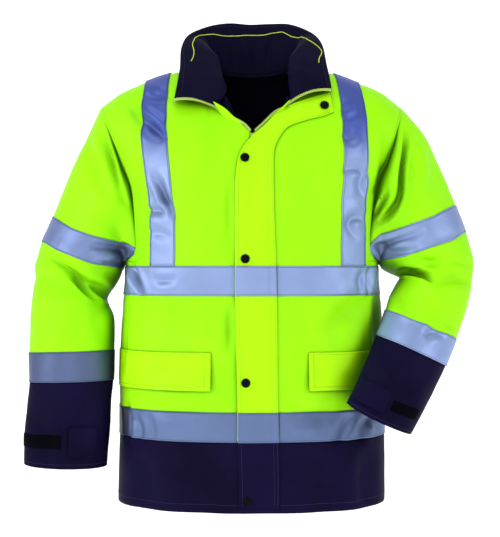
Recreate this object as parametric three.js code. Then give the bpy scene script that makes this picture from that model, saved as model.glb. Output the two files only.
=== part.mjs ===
// A hi-vis work jacket, size L, filled out as if worn and open in a V at the neck.
// Millimetres, +Z up, the front faces -Y, and +X is the wearer's left.
// The origin is the middle of the wearer's neck, at the height where the shoulders begin.
// Every piece of cloth is a closed wall, worked out from one body surface, two sleeves and a collar.

import * as THREE from 'three';

// Cloth, seams and tape.
const CLOTH = 2;
const SEAM_GAP = 0.3;
const TAPE_WIDTH = 50;
const TAPE_LIFT = 0.7;
const TAPE_THICK = 1;
const FLAP_THICK = 2;

// Heights of the body's lines.
const HEM_Z = -743;
const NAVY_Z = -624;
const CHEST_TAPE_Z = -379;
const POCKET_TOP_Z = -474;
const POCKET_HEIGHT = 64;

// The body's cut across: a rounded oblong, its corners set by this power.
const ROUNDNESS = 2.4;
const ZIP_X = 1.5;
const ZIP_HALF = 4;
const NECK_X = 78;
const SHOULDER_X = 270;
const SHOULDER_Z = 14;

// How finely the walls are divided.
const SIDE_COLUMNS = 10;
const LOW_ROWS = 6;
const BRACE_STEPS = 18;
const ZIP_STEPS = 12;
const COLLAR_COLUMNS = 32;
const COLLAR_ROWS = 6;
const PIPING_COLUMNS = 28;
const STUD_SIDES = 20;

// Half the body's width at each height; above the armhole it runs on under the sleeve's seam.
const HALF_WIDTH = [
  { z: -743, value: 238 },
  { z: -620, value: 237 },
  { z: -480, value: 235 },
  { z: -400, value: 231 },
  { z: -330, value: 226 },
  { z: -285, value: 226 },
  { z: -250, value: 228 },
  { z: -200, value: 234 },
  { z: -160, value: 246 },
  { z: -130, value: 258 },
  { z: -100, value: 272 },
  { z: -77, value: 284 },
  { z: -44, value: 299 },
  { z: 34, value: 330 },
];
const FRONT_DEPTH = [
  { z: -743, value: 158 },
  { z: -480, value: 160 },
  { z: -330, value: 160 },
  { z: -250, value: 156 },
  { z: -150, value: 148 },
  { z: 34, value: 144 },
];
const BACK_DEPTH = [
  { z: -743, value: 146 },
  { z: -480, value: 148 },
  { z: -300, value: 152 },
  { z: -200, value: 151 },
  { z: -100, value: 147 },
  { z: 34, value: 144 },
];

// The shoulder line, out from the neck, and how far below it the cloth has turned upright.
const SHOULDER = [
  { x: 0, value: 34 },
  { x: 78, value: 30 },
  { x: 130, value: 21 },
  { x: 156, value: 14 },
  { x: 193, value: 0 },
  { x: 231, value: -15 },
  { x: 252, value: -30 },
  { x: 270, value: -44 },
  { x: 300, value: -72 },
];
// The largest folds: soft troughs on the body, lying at an angle from upright, and down the sleeves.
const BODY_FOLDS = [
  { face: -1, x: -203, z: -426, lean: 4, long: 42, wide: 15, deep: 5 },
  { face: -1, x: -120, z: -420, lean: -30, long: 46, wide: 22, deep: 3 },
  { face: -1, x: 204, z: -430, lean: -6, long: 40, wide: 16, deep: 5 },
  { face: -1, x: 128, z: -425, lean: 35, long: 44, wide: 22, deep: 3 },
  { face: 1, x: -128, z: -470, lean: 8, long: 62, wide: 24, deep: 6 },
  { face: 1, x: -30, z: -455, lean: -5, long: 58, wide: 26, deep: 4 },
  { face: 1, x: 66, z: -480, lean: 10, long: 60, wide: 24, deep: 5 },
  { face: 1, x: 168, z: -462, lean: -9, long: 56, wide: 22, deep: 6 },
];
const SLEEVE_FOLDS = [
  { name: 'right', s: 1.6, degrees: 112, long: 0.9, wide: 20, deep: 8 },
  { name: 'right', s: 5.6, degrees: 70, long: 0.4, wide: 60, deep: 7 },
  { name: 'right', s: 5.8, degrees: 300, long: 0.5, wide: 50, deep: 6 },
  { name: 'right', s: 7.9, degrees: 60, long: 0.7, wide: 30, deep: 5 },
  { name: 'right', s: 1.8, degrees: 245, long: 0.9, wide: 22, deep: 8 },
  { name: 'left', s: 1.5, degrees: 100, long: 1.0, wide: 18, deep: 10 },
  { name: 'left', s: 5.1, degrees: 130, long: 0.5, wide: 45, deep: 7 },
  { name: 'left', s: 6.6, degrees: 60, long: 0.5, wide: 40, deep: 6 },
  { name: 'left', s: 5.6, degrees: 250, long: 0.5, wide: 50, deep: 7 },
  { name: 'left', s: 1.7, degrees: 250, long: 0.9, wide: 22, deep: 8 },
];
const FRONT_TURN = { neck: 300, tip: 110 };
const BACK_TURN = { neck: 210, tip: 110 };

// The neck's edge on each front, from the zip's V out to the collar's seam and the shoulder.
const NECK_FRONT_RIGHT = [
  { x: 0, value: -102 },
  { x: 13, value: -87 },
  { x: 34, value: -75 },
  { x: 56, value: -63 },
  { x: 64, value: -38 },
  { x: 71, value: -8 },
  { x: 78, value: 30 },
];
const NECK_FRONT_LEFT = [
  { x: 0, value: -104 },
  { x: 18, value: -87 },
  { x: 40, value: -65 },
  { x: 62, value: -52 },
  { x: 68, value: -34 },
  { x: 73, value: -4 },
  { x: 78, value: 30 },
];
const NECK_BACK = [
  { x: 0, value: 20 },
  { x: 40, value: 22 },
  { x: 65, value: 26 },
  { x: 78, value: 30 },
];

// Each armhole's edge from the underarm to the shoulder, as distances from the middle.
const ARMHOLE = [
  { z: -321, right: 226, left: 226, back: 226 },
  { z: -320, right: 222.5, left: 222.5, back: 222.5 },
  { z: -317.5, right: 217, left: 217.5, back: 217.5 },
  { z: -312.5, right: 209.5, left: 211, back: 211 },
  { z: -303, right: 202.5, left: 205.5, back: 206.5 },
  { z: -285, right: 201, left: 205, back: 206 },
  { z: -255, right: 203, left: 207.5, back: 207 },
  { z: -222, right: 205.5, left: 212.5, back: 209 },
  { z: -190, right: 210, left: 219.5, back: 214 },
  { z: -158, right: 222, left: 231, back: 224 },
  { z: -128, right: 234, left: 241, back: 235 },
  { z: -101, right: 246, left: 250.5, back: 247 },
  { z: -77, right: 257, left: 259, back: 257.5 },
  { z: -57, right: 265, left: 266, back: 265 },
  { z: -44, right: 270, left: 270, back: 270 },
];
const UNDERARM_Z = ARMHOLE[0].z;

// Sections down each sleeve: its outer and under points, depth, inward bow and front rise.
const SLEEVE_RIGHT = [
  { out: [-299, 0, -101], under: [-231, 0, -329], deep: 88, bow: 28, rise: 4 },
  { out: [-326, 0, -160], under: [-233, 0, -336], deep: 86, bow: 16, rise: 8 },
  { out: [-357, 0, -236], under: [-235, 0, -343], deep: 84, bow: 8, rise: 14 },
  { out: [-377, 0, -287], under: [-239, 0, -352], deep: 80, bow: 3, rise: 16 },
  { out: [-389, 0, -328], under: [-246, -2, -363], deep: 76, bow: 0, rise: 12 },
  { out: [-391, -3, -363], under: [-253, -6, -376], deep: 64, bow: 0, rise: 8 },
  { out: [-394, -8, -397], under: [-257, -12, -392], deep: 71, bow: 0, rise: 4 },
  { out: [-396, -14, -434], under: [-246, -18, -421], deep: 67, bow: 0, rise: 2 },
  { out: [-396, -22, -482], under: [-245, -26, -477], deep: 63, bow: 0, rise: 2 },
  { out: [-394, -32, -533], under: [-246, -36, -529], deep: 59, bow: 0, rise: 2 },
  { out: [-397, -38, -570], under: [-250, -42, -569], deep: 57, bow: 0, rise: 0 },
  { out: [-400, -46, -618], under: [-250, -50, -618], deep: 51, bow: 0, rise: 0 },
  { out: [-399, -56, -674], under: [-253, -60, -677], deep: 44, bow: 0, rise: -3 },
];
const SLEEVE_LEFT = [
  { out: [305, 0, -84], under: [231, 0, -328], deep: 88, bow: 28, rise: 4 },
  { out: [336, 0, -141], under: [234, 0, -333], deep: 86, bow: 16, rise: 8 },
  { out: [368, -4, -221], under: [238, -2, -336], deep: 84, bow: 8, rise: 14 },
  { out: [385, -10, -269], under: [246, -8, -340], deep: 80, bow: 3, rise: 14 },
  { out: [394, -18, -311], under: [254, -16, -345], deep: 75, bow: 0, rise: 8 },
  { out: [394, -26, -336], under: [262, -24, -350], deep: 64, bow: 0, rise: 4 },
  { out: [389, -36, -363], under: [256, -34, -360], deep: 70, bow: 0, rise: 0 },
  { out: [377, -54, -403], under: [243, -54, -380], deep: 66, bow: 0, rise: 0 },
  { out: [354, -82, -455], under: [232, -84, -405], deep: 62, bow: 0, rise: 2 },
  { out: [332, -106, -499], under: [213, -112, -446], deep: 58, bow: 0, rise: 2 },
  { out: [312, -122, -534], under: [196, -134, -482], deep: 54, bow: 0, rise: 0 },
  { out: [291, -140, -571], under: [177, -156, -522], deep: 49, bow: 0, rise: 0 },
  { out: [267, -156, -609], under: [157, -178, -555], deep: 44, bow: 0, rise: -3 },
];
// Where the walls round the sleeves have their rings, counted in sections from the armhole.
const YELLOW_SECTIONS = [0, 0.5, 1, 1.5, 2, 3, 3.5, 4, 5, 5.5, 6, 7, 8, 9, 9.996];
const NAVY_SECTIONS = [10.004, 11, 12, 13];
const BAND_UPPER = [3, 3.5, 4];
const BAND_LOWER = [9, 9.98];
const SLEEVE_END = 13;

// Stations round the collar from the wearer's right front to the left front.
// The seam is given on the body (x, z), bulge is where the cloth would roll through, top is its edge.
const COLLAR = [
  { x: -57, z: -61, face: -1, bulge: [-98, -134, -40], top: [-133, -116, -45] },
  { x: -61, z: -47, face: -1, bulge: [10, -150, -25], top: [-131, -104, -30] },
  { x: -65, z: -32, face: -1, bulge: [0, -140, 10], top: [-129, -92, -14] },
  { x: -71, z: -6, face: -1, bulge: [-28, -100, 48], top: [-126, -62, 20] },
  { x: -77, z: 24, face: -1, bulge: [-62, -28, 92], top: [-126, -20, 60] },
  { x: -74, z: 30, face: 1, bulge: [-72, 20, 86], top: [-114, 14, 91] },
  { x: -52, z: 25, face: 1, bulge: [-54, 48, 72], top: [-80, 42, 112] },
  { x: -26, z: 22, face: 1, bulge: [-26, 60, 66], top: [-42, 52, 120] },
  { x: 0, z: 21, face: 1, bulge: [0, 62, 64], top: [-3, 55, 118] },
  { x: 26, z: 22, face: 1, bulge: [26, 60, 66], top: [36, 53, 119] },
  { x: 52, z: 25, face: 1, bulge: [54, 48, 72], top: [72, 44, 116] },
  { x: 74, z: 30, face: 1, bulge: [74, 20, 86], top: [108, 18, 96] },
  { x: 77, z: 24, face: -1, bulge: [72, -28, 92], top: [126, -14, 68] },
  { x: 73, z: -2, face: -1, bulge: [44, -96, 52], top: [132, -58, 24] },
  { x: 70, z: -20, face: -1, bulge: [44, -120, 26], top: [136, -82, -4] },
  { x: 68, z: -36, face: -1, bulge: [56, -132, -2], top: [137, -92, -16] },
  { x: 65, z: -50, face: -1, bulge: [100, -122, -24], top: [137, -100, -26] },
];
const COLLAR_LIFT = 1.4;
const PIPING = { from: 0.2, to: 0.8, low: 0.775, high: 0.805, lift: 0.85, thick: 1.6 };

// The turned-out front edges inside the V: on the front's neck edge, at the roll, and inside.
const FACING_RIGHT = [
  { edge: -4, roll: [1, -122, -99], inner: [3, -98, -108] },
  { edge: -13, roll: [-3, -121, -84], inner: [2, -92, -92] },
  { edge: -34, roll: [-13, -117, -68], inner: [-6, -84, -76] },
  { edge: -55, roll: [-27, -113, -54], inner: [-20, -76, -62] },
];
const FACING_LEFT = [
  { edge: 7, roll: [5, -122, -99], inner: [6, -98, -108] },
  { edge: 18, roll: [14, -121, -82], inner: [10, -92, -92] },
  { edge: 40, roll: [34, -117, -58], inner: [28, -84, -70] },
  { edge: 61, roll: [57, -112, -44], inner: [50, -76, -54] },
];

// The storm flap: its free edge and its sewn edge, from the hem to the collar's corner.
const STORM_FLAP = [
  { free: [-21, -742], sewn: [47, -742] },
  { free: [-22, -680], sewn: [47, -680] },
  { free: [-24, -625], sewn: [46, -625] },
  { free: [-24, -560], sewn: [44, -560] },
  { free: [-26, -470], sewn: [43, -470] },
  { free: [-28, -380], sewn: [42, -380] },
  { free: [-28, -329], sewn: [41, -329] },
  { free: [-28, -250], sewn: [38, -250] },
  { free: [-28, -200], sewn: [37, -200] },
  { free: [-27, -172], sewn: [37, -175] },
  { free: [-22, -144], sewn: [37, -152] },
  { free: [-12, -124], sewn: [38, -136] },
  { free: [2, -108], sewn: [42, -122] },
  { free: [20, -92], sewn: [52, -104] },
  { free: [40, -72], sewn: [64, -92] },
  { free: [62, -57], sewn: [84, -84] },
  { free: [86, -47], sewn: [104, -78] },
  { free: [108, -40], sewn: [120, -74] },
  { free: [134, -32], sewn: [140, -66] },
];
// How far the flap stands off the cloth, from its free edge (0) to its sewn edge (1).
const FLAP_RISE = [
  { share: 0, value: 2.8 },
  { share: 0.33, value: 2.6 },
  { share: 0.67, value: 1.1 },
  { share: 1, value: 0.6 },
];
const POCKET_RISE = { top: 0.6, bottom: 5 };
const STUD_RADIUS = 7.5;
const STUD_HEIGHT = 4;
const STUDS = [
  { name: 'stud_top', x: -12, z: -147, share: 0.2 },
  { name: 'stud_chest', x: -11, z: -317, share: 0.25 },
  { name: 'stud_waist', x: -10, z: -524, share: 0.22 },
  { name: 'stud_hem', x: -7, z: -722, share: 0.2 },
  { name: 'stud_collar', x: 124, z: -56, share: 0.3 },
];

// The reflective tapes over the shoulders: the middle of each at a few heights.
const BRACE_RIGHT = [
  { z: -330, value: 152 },
  { z: -230, value: 153 },
  { z: -150, value: 163 },
  { z: -60, value: 168 },
  { z: 14, value: 166 },
];
const BRACE_LEFT = [
  { z: -330, value: 170 },
  { z: -230, value: 171 },
  { z: -150, value: 174 },
  { z: -60, value: 171 },
  { z: 14, value: 163 },
];
const BRACE_HALF = 22;
const BRACE_LIFT = 1;

// The cuff tabs and the hook-and-loop strips they close on, as degrees from the sleeve's outer side.
const CUFF_TABS = [
  { name: 'right', strip: [16, 88], tab: [98, 138] },
  { name: 'left', strip: [38, 88], tab: [95, 160] },
];
const TAB_LIFT = 1.15;
const TAB_SECTIONS = [11.8, 12, 12.3, 12.6];
const STRIP_SECTIONS = [12.05, 12.4];

const YELLOW = 0xb2fb20;
const FLAP_YELLOW = 0xc4fb24;
const NAVY = 0x16123a;
const LINING = 0x12122a;
const TAPE = 0x98a9cf;
const BLACK = 0x0b0b10;

const jacket = new THREE.Group();

function material(color, roughness, metalness = 0) {
  return new THREE.MeshStandardMaterial({ color, roughness, metalness });
}

// A smooth curve through a table's rows, keyed by one of its columns.
function curve(rows, key, column = 'value') {
  const at = rows.map((row) => row[key]);
  const value = rows.map((row) => row[column]);
  const last = rows.length - 1;
  const slope = at.map((_, i) => {
    const before = Math.max(i - 1, 0);
    const after = Math.min(i + 1, last);
    return (value[after] - value[before]) / (at[after] - at[before]);
  });
  return (wanted) => {
    const t = THREE.MathUtils.clamp(wanted, at[0], at[last]);
    let i = 0;
    while (i < last - 1 && t > at[i + 1]) i += 1;
    const span = at[i + 1] - at[i];
    const f = (t - at[i]) / span;
    const rest = 1 - f;
    return value[i] * rest * rest * (1 + 2 * f) + value[i + 1] * f * f * (3 - 2 * f)
      + span * f * rest * (slope[i] * rest - slope[i + 1] * f);
  };
}

const halfWidth = curve(HALF_WIDTH, 'z');
const shoulder = curve(SHOULDER, 'x');
const depths = { '-1': curve(FRONT_DEPTH, 'z'), 1: curve(BACK_DEPTH, 'z') };
const turns = { '-1': FRONT_TURN, 1: BACK_TURN };

// How deep the body's folds are at (x, z).
function bodyFolds(face, x, z) {
  let deep = 0;
  for (const fold of BODY_FOLDS) {
    if (fold.face !== face) continue;
    const lean = THREE.MathUtils.degToRad(fold.lean);
    const [dx, dz] = [x - fold.x, z - fold.z];
    const across = (dx * Math.cos(lean) - dz * Math.sin(lean)) / fold.wide;
    const along = (dx * Math.sin(lean) + dz * Math.cos(lean)) / fold.long;
    deep += fold.deep * Math.exp(-across * across - along * along);
  }
  return deep;
}

// How far the cloth stands from the side seams' plane at (x, z), on the front or the back.
function depthAt(face, x, z) {
  const across = Math.min(Math.abs(x), SHOULDER_X + 20);
  const share = Math.min(across / halfWidth(z), 1);
  const round = (1 - share ** ROUNDNESS) ** (1 / ROUNDNESS);
  const turn = turns[face].neck + (turns[face].tip - turns[face].neck) * (across / SHOULDER_X);
  const below = THREE.MathUtils.clamp((shoulder(across) - z) / turn, 0, 1);
  const smooth = depths[face](z) * round * Math.sqrt(below * (2 - below));
  return smooth - bodyFolds(face, x, z) * round;
}

// The direction out of the cloth at (x, z).
function outward(face, x, z) {
  const step = 0.4;
  const side = Math.sign(x) || 1;
  const across = Math.abs(x);
  if (across > halfWidth(z) - 1) return new THREE.Vector3(side, 0, 0);
  if (shoulder(across) - z < 1) {
    const fall = shoulder(across - step) - shoulder(across + step);
    return new THREE.Vector3(side * fall, 0, 2 * step).normalize();
  }
  const depth = depthAt(face, x, z);
  const alongX = (depth - depthAt(face, x - side * step, z)) / step;
  const alongZ = (depth - depthAt(face, x, z - step)) / step;
  return new THREE.Vector3(-side * alongX, face, -alongZ).normalize();
}

// A point on the body, moved out by lift.
function body(face, x, z, lift = 0) {
  const point = new THREE.Vector3(x, face * (depthAt(face, x, z) + SEAM_GAP / 2), z);
  return point.addScaledVector(outward(face, x, z), lift);
}

// A closed wall between two grids of points of the same size, each grid[row][column].
function wall(outer, inner, ring = false) {
  const rows = outer.length;
  const columns = outer[0].length;
  const positions = [];
  for (const grid of [outer, inner]) {
    for (const row of grid) {
      for (const point of row) positions.push(point.x, point.y, point.z);
    }
  }
  const layer = rows * columns;
  const at = (side, row, column) => side * layer + row * columns + (column % columns);
  const faces = [];
  const quad = (a, b, c, d) => faces.push(a, b, c, a, c, d);
  const across = ring ? columns : columns - 1;
  for (let i = 0; i < rows - 1; i += 1) {
    for (let j = 0; j < across; j += 1) {
      quad(at(0, i, j), at(0, i, j + 1), at(0, i + 1, j + 1), at(0, i + 1, j));
      quad(at(1, i, j), at(1, i + 1, j), at(1, i + 1, j + 1), at(1, i, j + 1));
    }
    if (!ring) {
      quad(at(0, i, 0), at(0, i + 1, 0), at(1, i + 1, 0), at(1, i, 0));
      quad(at(0, i, across), at(1, i, across), at(1, i + 1, across), at(0, i + 1, across));
    }
  }
  for (let j = 0; j < across; j += 1) {
    quad(at(0, 0, j), at(1, 0, j), at(1, 0, j + 1), at(0, 0, j + 1));
    quad(at(0, rows - 1, j), at(0, rows - 1, j + 1), at(1, rows - 1, j + 1), at(1, rows - 1, j));
  }
  const geometry = new THREE.BufferGeometry();
  geometry.setAttribute('position', new THREE.Float32BufferAttribute(positions, 3));
  geometry.setIndex(faces);
  return outwardFacing(geometry);
}

// Turns a closed mesh's triangles round if they enclose a negative volume.
function outwardFacing(geometry) {
  const position = geometry.getAttribute('position');
  const index = geometry.getIndex();
  const a = new THREE.Vector3();
  const b = new THREE.Vector3();
  const c = new THREE.Vector3();
  let volume = 0;
  for (let i = 0; i < index.count; i += 3) {
    a.fromBufferAttribute(position, index.getX(i));
    b.fromBufferAttribute(position, index.getX(i + 1));
    c.fromBufferAttribute(position, index.getX(i + 2));
    volume += a.dot(b.cross(c));
  }
  if (volume < 0) {
    for (let i = 0; i < index.count; i += 3) {
      const second = index.getX(i + 1);
      index.setX(i + 1, index.getX(i + 2));
      index.setX(i + 2, second);
    }
  }
  geometry.computeVertexNormals();
  return geometry;
}

function add(name, geometry, finish) {
  const mesh = new THREE.Mesh(geometry, finish);
  mesh.name = name;
  jacket.add(mesh);
}

// A wall on the body: places is a grid of { face, x, z, lift }, and the wall is thick inwards.
function bodyWall(places, thick) {
  const outer = places.map((row) => row.map((p) => body(p.face, p.x, p.z, p.lift ?? 0)));
  const inner = places.map((row) => row.map((p) => body(p.face, p.x, p.z, (p.lift ?? 0) - thick)));
  return wall(outer, inner);
}

// Positions across one side at a height: straight columns near the neck, then round to the edge.
function columnsAcross(start, z, edge, inside, outside) {
  const width = halfWidth(z);
  const angle = (x) => Math.asin(Math.min(x / width, 1) ** (ROUNDNESS / 2));
  const first = angle(NECK_X);
  const last = angle(edge);
  const list = inside.map((x) => Math.max(x, start));
  for (let i = 1; i <= outside; i += 1) {
    const turned = first + ((last - first) * i) / outside;
    list.push(i === outside ? edge : width * Math.sin(turned) ** (2 / ROUNDNESS));
  }
  return list;
}

// One side of the front or back from the navy panel up to the neck, the shoulder and the armhole.
function panelPlaces(face, side, neck, armhole, start, inside) {
  const neckLine = curve(neck, 'x');
  const rows = [];
  for (let i = 0; i < LOW_ROWS; i += 1) {
    const z = NAVY_Z + SEAM_GAP / 2 + ((UNDERARM_Z - NAVY_Z) * i) / LOW_ROWS;
    const columns = columnsAcross(start, z, halfWidth(z), inside, SIDE_COLUMNS);
    rows.push(columns.map((x) => ({ face, x: side * x, z })));
  }
  for (const row of ARMHOLE) {
    const edge = row[armhole];
    const share = (row.z - UNDERARM_Z) / (shoulder(edge) - UNDERARM_Z);
    const columns = columnsAcross(start, row.z, edge, inside, SIDE_COLUMNS);
    rows.push(columns.map((x) => {
      const top = x < NECK_X ? neckLine(x) : shoulder(x);
      return { face, x: side * x, z: UNDERARM_Z + (top - UNDERARM_Z) * share };
    }));
  }
  return rows;
}

function hemPlaces(face, side, start, inside) {
  const heights = [HEM_Z, (HEM_Z + NAVY_Z) / 2, NAVY_Z - SEAM_GAP / 2];
  return heights.map((z) => {
    const columns = columnsAcross(start, z, halfWidth(z), inside, SIDE_COLUMNS);
    return columns.map((x) => ({ face, x: side * x, z }));
  });
}

// Joins a right and a left half that share their middle column.
function bothSides(right, left) {
  return right.map((row, i) => [...row.slice(1).reverse(), ...left[i]]);
}

// The yellow and navy panels.
const yellowCloth = () => material(YELLOW, 0.7);
const navyCloth = () => material(NAVY, 0.75);
const inside = [0, 14, 34, 56, 64, 71, 78];
const backInside = [0, 26, 52, 78];
const rightStart = ZIP_HALF - ZIP_X;
const leftStart = ZIP_HALF + ZIP_X;
add('front_right', bodyWall(panelPlaces(-1, -1, NECK_FRONT_RIGHT, 'right', rightStart, inside), CLOTH),
  yellowCloth());
add('front_left', bodyWall(panelPlaces(-1, 1, NECK_FRONT_LEFT, 'left', leftStart, inside), CLOTH),
  yellowCloth());
add('back', bodyWall(bothSides(panelPlaces(1, -1, NECK_BACK, 'back', 0, backInside),
  panelPlaces(1, 1, NECK_BACK, 'back', 0, backInside)), CLOTH), yellowCloth());
add('hem_front_right', bodyWall(hemPlaces(-1, -1, rightStart, [0, 40, 78]), CLOTH), navyCloth());
add('hem_front_left', bodyWall(hemPlaces(-1, 1, leftStart, [0, 40, 78]), CLOTH), navyCloth());
add('hem_back', bodyWall(bothSides(hemPlaces(1, -1, 0, backInside), hemPlaces(1, 1, 0, backInside)),
  CLOTH), navyCloth());

// The closed zip, standing between the fronts from the hem up to the V.
const ZIP_FOOT_Z = -737;
const ZIP_TOP_Z = -110;
const ZIP_THICK = 2.4;
const zipRows = [];
for (let i = 0; i <= ZIP_STEPS; i += 1) {
  const z = ZIP_FOOT_Z + ((ZIP_TOP_Z - ZIP_FOOT_Z) * i) / ZIP_STEPS;
  const edge = ZIP_HALF - SEAM_GAP;
  zipRows.push([{ face: -1, x: ZIP_X - edge, z }, { face: -1, x: ZIP_X + edge, z }]);
}
add('zip_chain', bodyWall(zipRows, ZIP_THICK), material(FLAP_YELLOW, 0.6));

// A sleeve's rings: the first is the armhole's own edge, the others are from the table.
function sleeveRings(side, column, table) {
  const front = ARMHOLE.map((row) => ({ face: -1, x: side * row[column], z: row.z }));
  const back = ARMHOLE.map((row) => ({ face: 1, x: side * row.back, z: row.z }));
  const places = [...front.reverse(), ...back.slice(1, -1)];
  const last = ARMHOLE.length - 1;
  const seam = places.map((p, i) => {
    const point = body(p.face, p.x, p.z);
    if (i === 0 || i === last) point.y = 0;
    return point;
  });
  const normals = places.map((p) => outward(p.face, p.x, p.z));
  const axis = seam[0].clone().sub(seam[last]);
  const deepest = Math.max(...seam.map((point) => Math.abs(point.y)));
  const angles = seam.map((point, i) => {
    const share = point.clone().sub(seam[last]).dot(axis) / axis.lengthSq();
    const turned = Math.atan2(Math.abs(point.y) / deepest, 2 * share - 1);
    return i <= last ? turned : 2 * Math.PI - turned;
  });
  const rings = [seam];
  for (const row of table) {
    const out = new THREE.Vector3(...row.out);
    const under = new THREE.Vector3(...row.under);
    const half = out.clone().sub(under).multiplyScalar(0.5);
    const middle = out.clone().add(under).multiplyScalar(0.5);
    const along = new THREE.Vector3(-half.z, 0, half.x).normalize();
    if (along.z < 0) along.negate();
    const inwards = new THREE.Vector3(-side, 0, 0);
    rings.push(angles.map((angle) => middle.clone()
      .addScaledVector(half, Math.cos(angle))
      .addScaledVector(new THREE.Vector3(0, -1, 0), row.deep * Math.sin(angle))
      .addScaledVector(inwards, row.bow * Math.sin(angle) ** 2)
      .addScaledVector(along, row.rise * Math.sin(angle))));
  }
  return { rings, normals, angles };
}

const sleeves = {
  right: sleeveRings(-1, 'right', SLEEVE_RIGHT),
  left: sleeveRings(1, 'left', SLEEVE_LEFT),
};
const AROUND = sleeves.right.rings[0].length;

// A point on a sleeve: s runs down through the rings and j round them, both may be fractions.
function sleeve(name, s, j) {
  const { rings } = sleeves[name];
  const first = THREE.MathUtils.clamp(Math.floor(s), 0, SLEEVE_END - 1);
  const f = s - first;
  const column = (j + AROUND) % AROUND;
  const low = Math.floor(column);
  const mix = column - low;
  const ringPoint = (k) => {
    const ring = rings[THREE.MathUtils.clamp(k, 0, SLEEVE_END)];
    return ring[low].clone().lerp(ring[(low + 1) % AROUND], mix);
  };
  const [a, b, c, d] = [first - 1, first, first + 1, first + 2].map(ringPoint);
  const point = new THREE.Vector3();
  for (const axis of ['x', 'y', 'z']) {
    const p = [a[axis], b[axis], c[axis], d[axis]];
    point[axis] = p[1] + 0.5 * f * (p[2] - p[0]
      + f * (2 * p[0] - 5 * p[1] + 4 * p[2] - p[3] + f * (3 * (p[1] - p[2]) + p[3] - p[0])));
  }
  return point;
}

// The same point with the sleeve's folds pressed in towards its middle.
function foldedSleeve(name, s, j) {
  const point = sleeve(name, s, j);
  const column = (j + AROUND) % AROUND;
  const { angles } = sleeves[name];
  const low = Math.floor(column);
  const next = low + 1 < AROUND ? angles[low + 1] : 2 * Math.PI;
  const degrees = THREE.MathUtils.radToDeg(angles[low] + (next - angles[low]) * (column - low));
  let deep = 0;
  for (const fold of SLEEVE_FOLDS) {
    if (fold.name !== name) continue;
    const down = (s - fold.s) / fold.long;
    const round = (degrees - fold.degrees) / fold.wide;
    deep += fold.deep * Math.exp(-down * down - round * round);
  }
  const middle = sleeve(name, s, 0).lerp(sleeve(name, s, AROUND / 2), 0.5);
  return point.addScaledVector(middle.sub(point).normalize(), deep * Math.min(s, 1));
}

function sleeveOutward(name, s, j) {
  const step = 0.05;
  const down = foldedSleeve(name, Math.min(s + step, SLEEVE_END), j)
    .sub(foldedSleeve(name, Math.max(s - step, 0), j));
  const round = foldedSleeve(name, s, j + 1).sub(foldedSleeve(name, s, j - 1));
  const normal = down.cross(round).normalize();
  const side = name === 'right' ? 1 : -1;
  return normal.multiplyScalar(side);
}

// Moves a point of the sleeve's sewn edge clear of the body and returns its direction out.
function seamEdge(name, column, point) {
  const fromBody = sleeves[name].normals[column].clone();
  const along = sleeve(name, 0, column + 1).sub(sleeve(name, 0, column - 1));
  const away = along.cross(fromBody).normalize();
  const hole = sleeve(name, 0, 0).lerp(sleeve(name, 0, AROUND / 2), 0.5);
  if (away.dot(hole.sub(point)) < 0) away.negate();
  const rises = sleeve(name, 0.3, column).sub(point).dot(fromBody) > 0;
  point.addScaledVector(away, 2 * SEAM_GAP);
  return rises ? fromBody.add(sleeveOutward(name, 0.3, column)).normalize() : fromBody;
}

// The column that lies so many degrees from a sleeve's outer side, round by the front.
function sleeveColumn(name, degrees) {
  const wanted = THREE.MathUtils.degToRad(degrees);
  const { angles } = sleeves[name];
  let j = 0;
  while (angles[j + 1] < wanted) j += 1;
  return j + (wanted - angles[j]) / (angles[j + 1] - angles[j]);
}

// A wall round a sleeve between two of its sections, moved out by lift.
function sleeveWall(name, sections, lift, thick, between = [0, AROUND]) {
  const whole = between[1] - between[0] === AROUND;
  const columns = whole ? AROUND : Math.ceil(between[1] - between[0]) * 2 + 1;
  const outer = [];
  const inner = [];
  for (const s of sections) {
    const outerRow = [];
    const innerRow = [];
    for (let j = 0; j < columns; j += 1) {
      const span = whole ? AROUND : between[1] - between[0];
      const column = between[0] + (whole ? j : (span * j) / (columns - 1));
      const point = foldedSleeve(name, s, column);
      const normal = s === 0 ? seamEdge(name, column, point) : sleeveOutward(name, s, column);
      outerRow.push(point.clone().addScaledVector(normal, lift));
      innerRow.push(point.clone().addScaledVector(normal, lift - thick));
    }
    outer.push(outerRow);
    inner.push(innerRow);
  }
  return wall(outer, inner, whole);
}

const bandLift = TAPE_LIFT + TAPE_THICK;
for (const name of ['right', 'left']) {
  add(`sleeve_${name}`, sleeveWall(name, YELLOW_SECTIONS, 0, CLOTH), yellowCloth());
  add(`forearm_${name}`, sleeveWall(name, NAVY_SECTIONS, 0, CLOTH), navyCloth());
  add(`band_upper_${name}`, sleeveWall(name, BAND_UPPER, bandLift, TAPE_THICK), material(TAPE, 0.45, 0.3));
  add(`band_lower_${name}`, sleeveWall(name, BAND_LOWER, bandLift, TAPE_THICK), material(TAPE, 0.45, 0.3));
}
for (const row of CUFF_TABS) {
  const [tab, strip] = [row.tab, row.strip].map((ends) => ends.map((d) => sleeveColumn(row.name, d)));
  add(`cuff_tab_${row.name}`, sleeveWall(row.name, TAB_SECTIONS,
    TAB_LIFT + CLOTH, CLOTH, tab), navyCloth());
  add(`cuff_strip_${row.name}`, sleeveWall(row.name, STRIP_SECTIONS,
    TAPE_LIFT + TAPE_THICK, TAPE_THICK, strip), material(BLACK, 0.9));
}

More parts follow.
